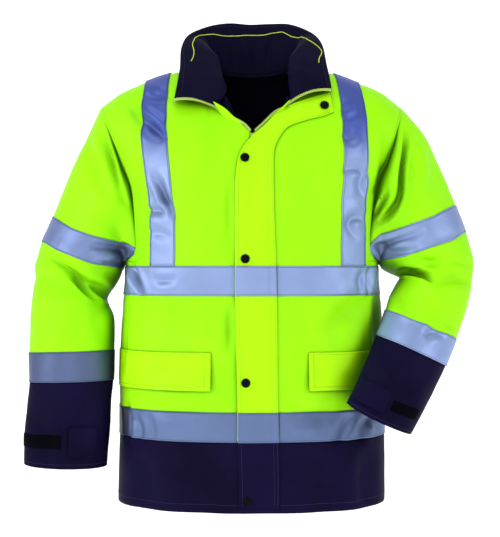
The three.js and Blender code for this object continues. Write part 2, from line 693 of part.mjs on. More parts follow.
// The tapes round the chest and above the hem, and those over the shoulders.
const tapeFinish = () => material(TAPE, 0.45, 0.3);
function tapePlaces(face, side, start, bottom) {
  return [bottom, bottom + TAPE_WIDTH].map((z) => {
    const near = [start, (start + NECK_X) / 2, NECK_X];
    const columns = columnsAcross(start, z, halfWidth(z), near, SIDE_COLUMNS);
    return columns.map((x) => ({ face, x: side * x, z, lift: bandLift }));
  });
}
const TAPES = [
  { name: 'chest', z: CHEST_TAPE_Z, besideFlap: 43 },
  { name: 'hem', z: NAVY_Z, besideFlap: 47 },
];
for (const { name, z, besideFlap } of TAPES) {
  add(`tape_${name}_right`, bodyWall(tapePlaces(-1, -1, rightStart, z), TAPE_THICK), tapeFinish());
  add(`tape_${name}_left`, bodyWall(tapePlaces(-1, 1, besideFlap, z), TAPE_THICK), tapeFinish());
  add(`tape_${name}_back`, bodyWall(bothSides(tapePlaces(1, -1, 0, z), tapePlaces(1, 1, 0, z)),
    TAPE_THICK), tapeFinish());
}

function bracePlaces(side, table) {
  const middle = curve(table, 'z');
  const lift = BRACE_LIFT + TAPE_THICK;
  const bottom = CHEST_TAPE_Z + TAPE_WIDTH + SEAM_GAP;
  const rows = [];
  for (const face of [-1, 1]) {
    for (let i = 0; i <= BRACE_STEPS; i += 1) {
      if (face === 1 && i === 0) continue;
      const share = face === -1 ? 1 - (1 - i / BRACE_STEPS) ** 2 : 1 - (i / BRACE_STEPS) ** 2;
      const row = [-1, -0.5, 0, 0.5, 1].map((part) => {
        const offset = part * BRACE_HALF;
        const centre = middle(bottom + (SHOULDER_Z - bottom) * share);
        const x = centre + offset;
        return { face, x: side * x, z: bottom + (shoulder(x) - bottom) * share, lift };
      });
      rows.push(row);
    }
  }
  return rows;
}
add('tape_brace_right', bodyWall(bracePlaces(-1, BRACE_RIGHT), TAPE_THICK), tapeFinish());
add('tape_brace_left', bodyWall(bracePlaces(1, BRACE_LEFT), TAPE_THICK), tapeFinish());

// The pocket flaps, sewn along the top and standing a little off the cloth below.
const POCKET_TURN_X = 110;
const POCKET_COLUMNS = 9;
const POCKET_SIDE_GAP = 3;
function pocketPlaces(side, start) {
  const rise = (down) => THREE.MathUtils.lerp(POCKET_RISE.top, POCKET_RISE.bottom, down);
  return [0, 0.5, 1].map((down) => {
    const z = POCKET_TOP_Z - POCKET_HEIGHT * down;
    const near = [start, (start + POCKET_TURN_X) / 2];
    const width = halfWidth(z) - POCKET_SIDE_GAP;
    const first = Math.asin((POCKET_TURN_X / halfWidth(z)) ** (ROUNDNESS / 2));
    const last = Math.asin((width / halfWidth(z)) ** (ROUNDNESS / 2));
    for (let i = 0; i <= POCKET_COLUMNS; i += 1) {
      const turned = first + ((last - first) * i) / POCKET_COLUMNS;
      near.push(halfWidth(z) * Math.sin(turned) ** (2 / ROUNDNESS));
    }
    return near.map((x) => ({ face: -1, x: side * x, z, lift: rise(down) + FLAP_THICK }));
  });
}
add('pocket_flap_right', bodyWall(pocketPlaces(-1, 68), FLAP_THICK), material(FLAP_YELLOW, 0.7));
add('pocket_flap_left', bodyWall(pocketPlaces(1, 95), FLAP_THICK), material(FLAP_YELLOW, 0.7));

// The storm flap over the zip, its navy foot, its two pieces of tape and its studs.
const flapRise = curve(FLAP_RISE, 'share');
function flapPlaces(rows, above) {
  return rows.map((row) => FLAP_RISE.map(({ share, value }) => ({
    face: -1,
    x: row.free[0] + (row.sewn[0] - row.free[0]) * share,
    z: row.free[1] + (row.sewn[1] - row.free[1]) * share,
    lift: value + FLAP_THICK + above,
  })));
}
const flapTop = STORM_FLAP.slice(2);
const flapFoot = STORM_FLAP.slice(0, 3).map((row) => ({
  free: [row.free[0], Math.min(row.free[1], NAVY_Z - 1 - SEAM_GAP)],
  sewn: [row.sewn[0], Math.min(row.sewn[1], NAVY_Z - 1 - SEAM_GAP)],
}));
add('storm_flap', bodyWall(flapPlaces(flapTop, 0), FLAP_THICK), material(FLAP_YELLOW, 0.7));
add('storm_flap_hem', bodyWall(flapPlaces(flapFoot, 0), FLAP_THICK), navyCloth());
const flapFree = curve(STORM_FLAP.slice(0, 9).map((row) => ({ z: row.free[1], value: row.free[0] })), 'z');
const flapSewn = curve(STORM_FLAP.slice(0, 9).map((row) => ({ z: row.sewn[1], value: row.sewn[0] })), 'z');
for (const { name, z } of TAPES) {
  const rows = [z, z + TAPE_WIDTH].map((height) => ({
    free: [flapFree(height) + 0.5, height],
    sewn: [flapSewn(height) - 0.5, height],
  }));
  add(`tape_${name}_flap`, bodyWall(flapPlaces(rows, bandLift), TAPE_THICK), tapeFinish());
}
for (const stud of STUDS) {
  const profile = [
    new THREE.Vector2(0, 0),
    new THREE.Vector2(STUD_RADIUS, 0),
    new THREE.Vector2(STUD_RADIUS, STUD_HEIGHT * 0.55),
    new THREE.Vector2(STUD_RADIUS * 0.7, STUD_HEIGHT),
    new THREE.Vector2(0, STUD_HEIGHT),
  ];
  const geometry = new THREE.LatheGeometry(profile, STUD_SIDES);
  const mesh = new THREE.Mesh(geometry, material(BLACK, 0.35));
  mesh.name = stud.name;
  const normal = outward(-1, stud.x, stud.z);
  const lift = flapRise(stud.share) + FLAP_THICK + SEAM_GAP;
  mesh.position.copy(body(-1, stud.x, stud.z, lift));
  mesh.quaternion.setFromUnitVectors(new THREE.Vector3(0, 1, 0), normal);
  jacket.add(mesh);
}

// The collar: curves from the neck's seam through a bulge to the top edge, joined smoothly.
const collarKeys = COLLAR.map((row, i) => ({
  at: i / (COLLAR.length - 1),
  seam: body(row.face, row.x, row.z).add(new THREE.Vector3(0, -COLLAR_LIFT, COLLAR_LIFT)),
  bulge: new THREE.Vector3(...row.bulge),
  top: new THREE.Vector3(...row.top),
}));
const collarCurves = {};
for (const key of ['seam', 'bulge', 'top']) {
  collarCurves[key] = ['x', 'y', 'z'].map((axis) => curve(
    collarKeys.map((row) => ({ at: row.at, value: row[key][axis] })), 'at'));
}

function collar(s, h) {
  const [seam, bulge, top] = ['seam', 'bulge', 'top'].map(
    (key) => new THREE.Vector3(...collarCurves[key].map((along) => along(s))));
  return seam.multiplyScalar((1 - h) ** 2)
    .addScaledVector(bulge, 2 * h * (1 - h))
    .addScaledVector(top, h * h);
}

function collarOutward(s, h) {
  const step = 0.01;
  const along = collar(Math.min(s + step, 1), h).sub(collar(Math.max(s - step, 0), h));
  const up = collar(s, Math.min(h + step, 1)).sub(collar(s, Math.max(h - step, 0)));
  return up.cross(along).normalize();
}

function collarWall(lift, thick) {
  const outer = [];
  const inner = [];
  for (let i = 0; i <= COLLAR_ROWS; i += 1) {
    const h = i / COLLAR_ROWS;
    outer.push([]);
    inner.push([]);
    for (let j = 0; j <= COLLAR_COLUMNS; j += 1) {
      const s = j / COLLAR_COLUMNS;
      const normal = collarOutward(s, h);
      outer[i].push(collar(s, h).addScaledVector(normal, lift));
      inner[i].push(collar(s, h).addScaledVector(normal, lift - thick));
    }
  }
  return wall(outer, inner);
}
// A strip along the collar's inner face, and the facings that line the V.
function collarStrip(from, to, low, high, lift, thick) {
  const [outer, inner] = [lift, lift - thick].map((offset) => [low, high].map((h) => {
    const row = [];
    for (let j = 0; j <= PIPING_COLUMNS; j += 1) {
      const s = from + ((to - from) * j) / PIPING_COLUMNS;
      row.push(collar(s, h).addScaledVector(collarOutward(s, h), offset));
    }
    return row;
  }));
  return wall(outer, inner);
}
add('collar_piping', collarStrip(PIPING.from, PIPING.to, PIPING.low, PIPING.high,
  -CLOTH - PIPING.lift, PIPING.thick), material(FLAP_YELLOW, 0.6));

function facing(table, neck) {
  const neckLine = curve(neck, 'x');
  const middles = table.map((row) => {
    const edge = body(-1, row.edge, neckLine(Math.abs(row.edge))).add(new THREE.Vector3(0, -0.7, 0.7));
    const roll = new THREE.Vector3(...row.roll);
    return [edge, edge.clone().lerp(roll, 0.5).add(new THREE.Vector3(0, -2, 1)), roll,
      new THREE.Vector3(...row.inner)];
  });
  const thick = CLOTH / 2;
  const last = middles.length - 1;
  const shifted = (by) => middles.map((row, i) => row.map((point, j) => {
    const across = row[Math.min(j + 1, last)].clone().sub(row[Math.max(j - 1, 0)]);
    const along = middles[Math.min(i + 1, last)][j].clone().sub(middles[Math.max(i - 1, 0)][j]);
    return point.clone().addScaledVector(along.cross(across).normalize(), by);
  }));
  return wall(shifted(thick / 2), shifted(-thick / 2));
}
add('facing_right', facing(FACING_RIGHT, NECK_FRONT_RIGHT), material(LINING, 0.8));
add('facing_left', facing(FACING_LEFT, NECK_FRONT_LEFT), material(LINING, 0.8));
add('collar_inner', collarWall(0, CLOTH), material(LINING, 0.8));
add('collar_outer', collarWall(CLOTH + SEAM_GAP, CLOTH), navyCloth());

export default jacket;
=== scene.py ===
import bmesh
import bpy
import numpy as np
from mathutils import Matrix, Vector


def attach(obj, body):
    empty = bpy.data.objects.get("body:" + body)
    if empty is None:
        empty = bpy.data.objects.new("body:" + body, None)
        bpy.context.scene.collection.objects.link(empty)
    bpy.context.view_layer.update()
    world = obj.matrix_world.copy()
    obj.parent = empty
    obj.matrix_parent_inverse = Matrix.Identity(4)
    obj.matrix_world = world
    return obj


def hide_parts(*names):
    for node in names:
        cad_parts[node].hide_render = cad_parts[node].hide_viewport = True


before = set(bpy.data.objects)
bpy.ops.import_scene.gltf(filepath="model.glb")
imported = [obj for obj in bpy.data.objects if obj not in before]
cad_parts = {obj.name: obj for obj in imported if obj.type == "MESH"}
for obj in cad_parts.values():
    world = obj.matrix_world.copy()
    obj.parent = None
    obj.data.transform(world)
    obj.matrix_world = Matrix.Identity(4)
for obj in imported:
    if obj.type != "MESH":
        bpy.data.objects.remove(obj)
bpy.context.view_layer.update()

# The body: two fronts and a back of coated polyester Oxford cloth in fluorescent yellow, lined in navy.
# They are cut flat and sewn at the sides, shoulders and armholes, so the worn form is one smooth barrel
# with soft creases where the arms pull and where the waist sinks.
MM = 0.001
SEAM_GAP = 0.3
CLOTH_THICK = 1.5
CLOTH_STEP = 4.5
HEM_Z = -743
NAVY_Z = -624
CHEST_TAPE_Z = -379
TAPE_WIDTH = 50
ROUNDNESS = 2.4
ZIP_X = 1.5
ZIP_HALF = 4
NECK_X = 78
SHOULDER_X = 270
FRONT, BACK = -1, 1
SIDES = {"right": -1, "left": 1}


def curve(at, value):
    """A smooth curve through the values, which may be numbers or points, keyed by at."""
    at = np.array(at, float)
    value = np.array(value, float)
    last = len(at) - 1
    before = np.maximum(np.arange(last + 1) - 1, 0)
    after = np.minimum(np.arange(last + 1) + 1, last)
    spans = at[after] - at[before]
    slope = (value[after] - value[before]) / (spans if value.ndim == 1 else spans[:, None])

    def along(wanted):
        t = np.clip(wanted, at[0], at[-1])
        i = np.clip(np.searchsorted(at, t, side="right") - 1, 0, last - 1)
        span = at[i + 1] - at[i]
        f = (t - at[i]) / span
        if value.ndim > 1:
            f, span = f[..., None], span[..., None]
        g = 1 - f
        ends = value[i] * g * g * (1 + 2 * f) + value[i + 1] * f * f * (3 - 2 * f)
        return ends + span * f * g * (slope[i] * g - slope[i + 1] * f)

    return along


def pairs(*rows):
    """A curve from rows of (at, value)."""
    return curve([row[0] for row in rows], [row[1] for row in rows])


half_width = pairs(
    (-743, 238), (-620, 237), (-480, 235), (-400, 231), (-330, 226), (-285, 226), (-250, 228),
    (-200, 234), (-160, 246), (-130, 258), (-100, 272), (-77, 284), (-44, 299), (34, 330))
body_depth = {
    FRONT: pairs((-743, 158), (-480, 160), (-330, 160), (-250, 156), (-150, 148), (34, 144)),
    BACK: pairs((-743, 146), (-480, 148), (-300, 152), (-200, 151), (-100, 147), (34, 144)),
}
shoulder = pairs(
    (0, 34), (78, 30), (130, 21), (156, 14), (193, 0), (231, -15), (252, -30), (270, -44), (300, -72))
SHOULDER_TURN = {FRONT: (300, 110), BACK: (210, 110)}
neck_line = {
    (FRONT, "right"): pairs((0, -102), (13, -87), (34, -75), (56, -63), (64, -38), (71, -8), (78, 30)),
    (FRONT, "left"): pairs((0, -104), (18, -87), (40, -65), (62, -52), (68, -34), (73, -4), (78, 30)),
    (BACK, "right"): pairs((0, 20), (40, 22), (65, 26), (78, 30)),
    (BACK, "left"): pairs((0, 20), (40, 22), (65, 26), (78, 30)),
}
# The armholes, from the underarm up: height, then the distance from the middle on each side.
ARMHOLE = [
    dict(z=-321, right=226, left=226, back=226),
    dict(z=-320, right=222.5, left=222.5, back=222.5),
    dict(z=-317.5, right=217, left=217.5, back=217.5),
    dict(z=-312.5, right=209.5, left=211, back=211),
    dict(z=-303, right=202.5, left=205.5, back=206.5),
    dict(z=-285, right=201, left=205, back=206),
    dict(z=-255, right=203, left=207.5, back=207),
    dict(z=-222, right=205.5, left=212.5, back=209),
    dict(z=-190, right=210, left=219.5, back=214),
    dict(z=-158, right=222, left=231, back=224),
    dict(z=-128, right=234, left=241, back=235),
    dict(z=-101, right=246, left=250.5, back=247),
    dict(z=-77, right=257, left=259, back=257.5),
    dict(z=-57, right=265, left=266, back=265),
    dict(z=-44, right=270, left=270, back=270),
]
ARMHOLE_ROWS = len(ARMHOLE)
UNDERARM_Z = ARMHOLE[0]["z"]
armhole = {
    side: curve(range(ARMHOLE_ROWS), [(row[side], row["z"]) for row in ARMHOLE])
    for side in ("right", "left", "back")
}
# The broad hollows of the cloth: place, lean in degrees, length, width and depth.
HOLLOWS = [
    dict(face=FRONT, x=-203, z=-426, lean=4, long=42, wide=15, deep=5),
    dict(face=FRONT, x=-120, z=-420, lean=-30, long=46, wide=22, deep=3),
    dict(face=FRONT, x=204, z=-430, lean=-6, long=40, wide=16, deep=5),
    dict(face=FRONT, x=128, z=-425, lean=35, long=44, wide=22, deep=3),
    dict(face=BACK, x=-128, z=-470, lean=8, long=62, wide=24, deep=6),
    dict(face=BACK, x=-30, z=-455, lean=-5, long=58, wide=26, deep=4),
    dict(face=BACK, x=66, z=-480, lean=10, long=60, wide=24, deep=5),
    dict(face=BACK, x=168, z=-462, lean=-9, long=56, wide=22, deep=6),
]


def creases(face, *rows):
    """Creases on one face, in rows of line, depth and the widths on the line's left and right side.

    The line is seen from the front and walked from its first point; a negative depth makes a ridge.
    """
    return [dict(face=face, line=line, deep=deep, wide=wide) for line, deep, wide in rows]


BODY_CREASES = creases(
    FRONT,
    ([(-170, -170), (-156, -200), (-148, -226)], 7.5, (8, 4.5)),
    ([(-158, -180), (-148, -216), (-136, -240)], 5.4, (7, 4.5)),
    ([(-150, -206), (-140, -226), (-128, -256)], 6.3, (7, 4.5)),
    ([(-186, -236), (-162, -232), (-138, -238)], 6.8, (4.5, 9)),
    ([(-180, -274), (-160, -270), (-136, -280)], 3.9, (5, 10)),
    ([(-190, -74), (-164, -96), (-146, -116)], 9.8, (6, 12)),
    ([(-188, -56), (-166, -72), (-142, -96)], -4.5, (7, 7)),
    ([(-184, -24), (-162, -34), (-136, -28)], 6.0, (8, 9)),
    ([(-212, -44), (-200, -66), (-184, -92)], 8.2, (8, 14)),
    ([(-228, -50), (-214, -66), (-202, -92)], -5.4, (9, 9)),
    ([(196, -168), (174, -163), (150, -170)], 6.6, (5, 10)),
    ([(196, -252), (178, -246), (166, -260), (182, -284)], 6.9, (5, 9)),
    ([(200, -160), (187, -184), (190, -212)], 6.9, (5, 10)),
    ([(184, -100), (166, -112), (154, -96)], 6.6, (9, 11)),
    ([(178, -56), (160, -66), (146, -58)], 4.5, (8, 9)),
    ([(218, -80), (214, -130), (212, -180)], -4.5, (10, 9)),
    ([(230, -150), (226, -186), (217, -208)], 6.9, (5, 9)),
    ([(-120, -150), (-108, -230), (-92, -325)], -5.1, (26, 22)),
    ([(-66, -60), (-56, -130), (-60, -200)], 5.1, (26, 24)),
    ([(70, -130), (104, -190), (120, -260)], 4.2, (26, 22)),
    ([(-211, -322), (-198, -350), (-186, -382)], 12.0, (5, 5)),
    ([(-214, -334), (-209, -356), (-208, -384)], -4.5, (4.5, 4.5)),
    ([(-221, -330), (-219, -420), (-224, -520)], 6.8, (6, 9)),
    ([(208, -322), (201, -352), (204, -384)], 9.8, (7, 4.5)),
    ([(196, -334), (186, -352), (190, -378)], 5.1, (4.5, 6)),
    ([(221, -340), (216, -440), (222, -540)], 6.8, (9, 7)),
    ([(-166, -350), (-148, -352), (-128, -349)], 4.2, (4.5, 7)),
    ([(-76, -384), (-62, -408), (-44, -430)], 5.4, (16, 22)),
    ([(-190, -396), (-150, -430), (-100, -446)], 5.4, (16, 24)),
    ([(186, -400), (150, -420), (122, -452)], 6.3, (24, 16)),
    ([(200, -380), (170, -398), (140, -404)], 4.8, (18, 14)),
    ([(80, -392), (92, -430), (86, -468)], 3.9, (18, 20)),
    ([(-36, -386), (-37, -430), (-38, -480)], 6.8, (9, 9)),
    ([(-40, -170), (-38, -240), (-40, -320)], 3.6, (9, 8)),
    ([(66, -560), (96, -574), (140, -566)], 3.9, (10, 14)),
    ([(-80, -560), (-120, -572), (-170, -560)], 3.9, (14, 10)),
    ([(170, -580), (158, -604), (140, -636)], 6.6, (6, 12)),
    ([(214, -590), (196, -600), (186, -634)], 6.0, (6, 10)),
    ([(226, -622), (214, -596), (200, -580)], 5.1, (8, 6)),
    ([(-222, -560), (-214, -594), (-216, -640)], 8.2, (6, 5)),
    ([(-206, -584), (-190, -606), (-194, -630)], 4.5, (7, 5)),
    ([(-182, -580), (-168, -604), (-172, -632)], 3.9, (6, 8)),
    ([(-100, -760), (-66, -700), (-56, -644)], 5.4, (30, 22)),
    ([(-196, -760), (-180, -700), (-184, -640)], 6.0, (18, 22)),
    ([(110, -760), (126, -700), (112, -644)], 5.4, (24, 20)),
    ([(206, -755), (192, -700), (200, -640)], 6.0, (14, 18)),
) + creases(
    BACK,
    ([(-206, -130), (-180, -206), (-136, -280)], 9.0, (9, 16)),
    ([(200, -140), (180, -220), (142, -300)], 9.3, (16, 9)),
    ([(-206, -240), (-182, -286), (-150, -312)], 7.5, (6, 10)),
    ([(204, -236), (184, -280), (152, -300)], 7.5, (10, 6)),
    ([(-130, -14), (0, -54), (130, -20)], 6.6, (20, 28)),
    ([(-90, -120), (-44, -200), (-52, -300)], 5.1, (26, 18)),
    ([(96, -110), (60, -190), (70, -310)], 5.4, (18, 26)),
    ([(-222, -340), (-150, -420), (-80, -446)], 9.0, (10, 20)),
    ([(222, -350), (160, -430), (60, -452)], 8.4, (22, 10)),
    ([(-206, -520), (-120, -500), (-20, -530)], 6.6, (14, 22)),
    ([(206, -540), (130, -512), (40, -536)], 6.9, (20, 12)),
    ([(-140, -760), (-116, -660), (-128, -560)], 7.5, (22, 18)),
    ([(0, -760), (14, -670), (-4, -590)], 6.3, (24, 24)),
    ([(136, -760), (120, -680), (140, -580)], 7.2, (18, 24)),
)


CREASE_RIM = 0.32
CREASE_RIM_PLACE = 1.9


def crease_height(across, up, facing, rows):
    """How far the creases move the cloth out at places given by two lengths; troughs are negative."""
    height = np.zeros(np.shape(across))
    for crease in rows:
        line = np.array(crease["line"], float)
        steps = np.linspace(0, len(line) - 1, 6 * (len(line) - 1) + 1)
        line = curve(range(len(line)), line)(steps)
        nearest = np.full(height.shape, 1e9)
        share = np.zeros(height.shape)
        side = np.ones(height.shape)
        for k in range(len(line) - 1):
            start = line[k]
            run = line[k + 1] - start
            dx, dz = across - start[0], up - start[1]
            t = np.clip((dx * run[0] + dz * run[1]) / (run @ run), 0, 1)
            away = np.hypot(dx - t * run[0], dz - t * run[1])
            closer = away < nearest
            nearest = np.where(closer, away, nearest)
            share = np.where(closer, (k + t) / (len(line) - 1), share)
            side = np.where(closer, np.sign(run[0] * dz - run[1] * dx), side)
        reach = nearest / np.where(side > 0, crease["wide"][0], crease["wide"][1])
        shape = np.exp(-reach**2) - CREASE_RIM * np.exp(-((reach - CREASE_RIM_PLACE) ** 2))
        fade = np.sin(np.pi * share) ** 0.8
        height -= crease["deep"] * shape * fade * facing[crease["face"]]
    return height


def unevenness(point, size, seed):
    """A soft, unrepeating rise and fall of the cloth, about 1 high, from a few crossing waves."""
    chance = np.random.RandomState(seed)
    total = np.zeros(point.shape[:-1])
    waves = 9
    for wave in range(waves):
        direction = chance.normal(size=3)
        direction /= np.linalg.norm(direction)
        length = size * chance.uniform(0.6, 1.6)
        total += np.sin(point @ direction * 2 * np.pi / length + chance.uniform(0, 2 * np.pi))
    return total / np.sqrt(waves)


def cloth_facing(normal):
    """How much each place belongs to the front and to the back, from its direction."""
    return {face: np.clip(0.3 + 1.5 * face * normal[..., 1], 0, 1) for face in (FRONT, BACK)}


def depth_at(face, x, z):
    """How far the smooth cloth of one face lies from the middle plane."""
    across = np.minimum(np.abs(x), SHOULDER_X + 20)
    share = np.minimum(across / half_width(z), 1)
    rounded = (1 - share**ROUNDNESS) ** (1 / ROUNDNESS)
    neck, tip = SHOULDER_TURN[face]
    below = np.clip((shoulder(across) - z) / (neck + (tip - neck) * across / SHOULDER_X), 0, 1)
    hollow = 0
    for row in HOLLOWS:
        if row["face"] == face:
            lean = np.radians(row["lean"])
            dx, dz = x - row["x"], z - row["z"]
            over = (dx * np.cos(lean) - dz * np.sin(lean)) / row["wide"]
            along = (dx * np.sin(lean) + dz * np.cos(lean)) / row["long"]
            hollow = hollow + row["deep"] * np.exp(-over * over - along * along)
    return (body_depth[face](z) * np.sqrt(below * (2 - below)) - hollow) * rounded


def outward(face, x, z):
    """The direction out of the smooth cloth."""
    step = 0.4
    side = np.where(x < 0, -1.0, 1.0)
    across = np.abs(x)
    depth = depth_at(face, x, z)
    along_x = (depth - depth_at(face, x - side * step, z)) / step
    along_z = (depth - depth_at(face, x, z - step)) / step
    normal = np.stack([-side * along_x, np.full(x.shape, float(face)), -along_z], -1)
    fall = shoulder(across - step) - shoulder(across + step)
    on_top = np.stack([side * fall, 0 * x, np.full(x.shape, 2 * step)], -1)
    on_side = np.stack([side, 0 * x, 0 * x], -1)
    normal = np.where((shoulder(across) - z < 1)[..., None], on_top, normal)
    normal = np.where((across > half_width(z) - 1)[..., None], on_side, normal)
    return normal / np.linalg.norm(normal, axis=-1, keepdims=True)


def body(face, x, z, lift=0.0):
    """Points on the worn body with all its creases, moved out by lift."""
    x, z = np.broadcast_arrays(np.asarray(x, float), np.asarray(z, float))
    normal = outward(face, x, z)
    point = np.stack([x, face * (depth_at(face, x, z) + SEAM_GAP / 2), z], -1)
    height = crease_height(x, z, cloth_facing(normal), BODY_CREASES)
    height = height + 0.9 * unevenness(point, 150, 3) + 0.25 * unevenness(point, 46, 5)
    return point + normal * (height + lift)[..., None]


def steps_between(stops, step):
    """Numbers from the first stop to the last, through every stop, no more than a step apart."""
    parts = [np.linspace(a, b, max(int(np.ceil(abs(b - a) / step)), 1), endpoint=False)
             for a, b in zip(stops, stops[1:])]
    return np.concatenate([*parts, [stops[-1]]])


def columns_across(start, z, edge, inner, outer):
    """Columns from start to the edge at one height: even near the neck, then turned round the side."""
    width = half_width(z)
    first = np.arcsin((NECK_X / width) ** (ROUNDNESS / 2))
    last = np.arcsin(np.minimum(edge / width, 1) ** (ROUNDNESS / 2))
    turned = np.linspace(first, last, outer + 1)
    outside = width * np.sin(turned) ** (2 / ROUNDNESS)
    outside[-1] = edge
    return np.concatenate([np.linspace(start, NECK_X, inner, endpoint=False), outside])


INNER_COLUMNS = 18
OUTER_COLUMNS = 44


def panel(face, side, start):
    """One side of the yellow front or back, from the navy panel up to neck, shoulder and armhole."""
    hole = armhole["back" if face == BACK else side]
    line = neck_line[face, side]
    rows = []
    for z in steps_between([NAVY_Z + SEAM_GAP / 2, UNDERARM_Z], CLOTH_STEP)[:-1]:
        x = columns_across(start, z, half_width(z), INNER_COLUMNS, OUTER_COLUMNS)
        rows.append((x, np.full(x.shape, z)))
    heights = [row["z"] for row in ARMHOLE]
    counts = [max(int(np.ceil((b - a) / CLOTH_STEP)), 1) for a, b in zip(heights, heights[1:])]
    stops = np.concatenate([k + np.arange(n) / n for k, n in enumerate(counts)] + [[ARMHOLE_ROWS - 1]])
    for edge, z in hole(stops):
        share = (z - UNDERARM_Z) / (shoulder(edge) - UNDERARM_Z)
        x = columns_across(start, min(z, -44), edge, INNER_COLUMNS, OUTER_COLUMNS)
        top = np.where(x < NECK_X, line(x), shoulder(x))
        rows.append((x, UNDERARM_Z + (top - UNDERARM_Z) * share))
    x = np.array([row[0] for row in rows]) * SIDES[side]
    return body(face, x, np.array([row[1] for row in rows]))


def hem_panel(face, side, start):
    """One side of the navy panel that is sewn on below."""
    rows = [(columns_across(start, z, half_width(z), INNER_COLUMNS, OUTER_COLUMNS), z)
            for z in steps_between([HEM_Z, NAVY_Z - SEAM_GAP / 2], CLOTH_STEP)]
    x = np.array([row[0] for row in rows]) * SIDES[side]
    return body(face, x, np.array([[row[1]] for row in rows]))


def both_sides(right, left):
    """Joins a right and a left half that share their middle column."""
    return np.concatenate([right[:, :0:-1], left], axis=1)


def sew(name, points, faces_to, finishes, thick, slot, node=None, closed=False):
    """A grid of points as a piece of cloth on the body, in place of its solid.

    Its UVs are lengths along it in metres, so its cut is as wide and long as the worn cloth.
    """
    rows, columns = points.shape[:2]
    points = points * MM
    widths = np.linalg.norm(np.diff(points, axis=1), axis=-1).sum(1)
    heights = np.linalg.norm(np.diff(points, axis=0), axis=-1).sum(0)
    grid = bmesh.new()
    bmesh.ops.create_grid(grid, x_segments=columns - 1, y_segments=rows - 1, size=0.5, calc_uvs=True)
    uv = grid.loops.layers.uv.verify()
    for face in grid.faces:
        for loop in face.loops:
            place = loop.vert.co
            loop[uv].uv = ((place.x + 0.5) * widths.mean(), (place.y + 0.5) * heights.mean())
    for vert in grid.verts:
        column = round((vert.co.x + 0.5) * (columns - 1))
        row = round((vert.co.y + 0.5) * (rows - 1))
        vert.co = points[row, column]
    if closed:
        bmesh.ops.remove_doubles(grid, verts=grid.verts, dist=1e-6)
    grid.normal_update()
    middle = Vector(points[rows // 2, columns // 2])
    nearest = min(grid.faces, key=lambda face: (face.calc_center_median() - middle).length)
    if nearest.normal.dot(Vector(faces_to)) < 0:
        bmesh.ops.reverse_faces(grid, faces=grid.faces)
    for face in grid.faces:
        face.smooth = True
    piece = placed(name, grid, finishes)
    if thick:
        wall = piece.modifiers.new("thickness", "SOLIDIFY")
        wall.thickness = thick * MM
        wall.offset = -1
        wall.use_even_offset = False
        wall.material_offset = len(finishes) - 1
    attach(piece, "root")
    if node:
        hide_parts(node)


def placed(name, shape, finishes):
    """A finished bmesh as an object in the scene."""
    mesh = bpy.data.meshes.new(name)
    shape.to_mesh(mesh)
    shape.free()
    for finish in finishes:
        mesh.materials.append(finish)
    piece = bpy.data.objects.new(name, mesh)
    bpy.context.scene.collection.objects.link(piece)
    return piece


def strung(name, paths, pitch, size, shape, finish, slot):
    """Small shapes set along paths, a pitch apart and joined in one mesh: size is width and length."""
    wide, long = np.array(size) * MM / 2
    whole = bmesh.new()
    for path in paths:
        gaps = np.linalg.norm(np.diff(path, axis=0), axis=1)
        along = np.concatenate([[0], np.cumsum(gaps)])
        count = max(int(along[-1] / pitch), 1)
        marks = (np.arange(count) + 0.5) * along[-1] / count
        places, ahead = [np.stack([np.interp(marks + shift, along, path[:, k]) for k in range(3)], -1)
                         for shift in (0, 0.5)]
        line = bmesh.new()
        for place, way in zip(places, ahead - places):
            turned = Vector(way).to_track_quat("Z", "Y").to_matrix().to_4x4()
            sized = turned @ Matrix.Diagonal((wide, wide, long, 1))
            shape(line, Matrix.Translation(Vector(place) * MM) @ sized)
        mesh = bpy.data.meshes.new(name)
        line.to_mesh(mesh)
        line.free()
        whole.from_mesh(mesh)
        bpy.data.meshes.remove(mesh)
    piece = placed(name, whole, [finish])
    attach(piece, "root")


STITCH_PITCH = 4
STITCH_SIZE = (0.9, 3.1)


def topstitch(name, lines, thread, slot):
    def stitch(line, spot):
        bmesh.ops.create_uvsphere(line, u_segments=6, v_segments=3, radius=1, matrix=spot)

    strung(name, lines, STITCH_PITCH, STITCH_SIZE, stitch, thread, slot)


def node_material(name, roughness, specular=0.5):
    """A new material and a short way to add its nodes."""
    material = bpy.data.materials.new(name)
    material.use_nodes = True
    tree = material.node_tree
    shader = tree.nodes["Principled BSDF"]
    shader.inputs["Roughness"].default_value = roughness
    shader.inputs["Specular IOR Level"].default_value = specular

    def add(kind, inputs=(), **settings):
        node = tree.nodes.new(kind)
        for key, value in settings.items():
            setattr(node, key, value)
        for key, value in dict(inputs).items():
            if isinstance(value, bpy.types.NodeSocket):
                tree.links.new(value, node.inputs[key])
            else:
                node.inputs[key].default_value = value
        return node

    return material, tree, shader, add


def noise(add, place, scale, detail, **more):
    """A noise by the place in the piece."""
    inputs = {"Vector": place.outputs["Object"], "Scale": scale, "Detail": detail, **more}
    return add("ShaderNodeTexNoise", inputs).outputs["Fac"]


def bump(add, height, strength, millimetres, *under):
    """The normal of a bumpy surface, over another bump's where one is given."""
    inputs = {"Height": height, "Strength": strength, "Distance": millimetres * MM}
    inputs.update(("Normal", normal) for normal in under)
    return add("ShaderNodeBump", inputs).outputs["Normal"]


def plain(name, colour, roughness, specular, grain_height, grain_scale):
    """Moulded plastic, thread or tape of one colour, with a fine grain."""
    material, tree, shader, add = node_material(name, roughness, specular)
    shader.inputs["Base Color"].default_value = (*colour, 1)
    grain = noise(add, add("ShaderNodeTexCoord"), grain_scale, 3.0)
    tree.links.new(bump(add, grain, 0.5, grain_height), shader.inputs["Normal"])
    return material


WEAVE_PITCH = 1.1 * MM
# How far the painted shade in folds looks for nearby cloth, in metres.
PAINTED_SHADE_REACH = 0.05
# The sockets of a colour mix.
MIX_A, MIX_B, MIX_RESULT = 6, 7, 2


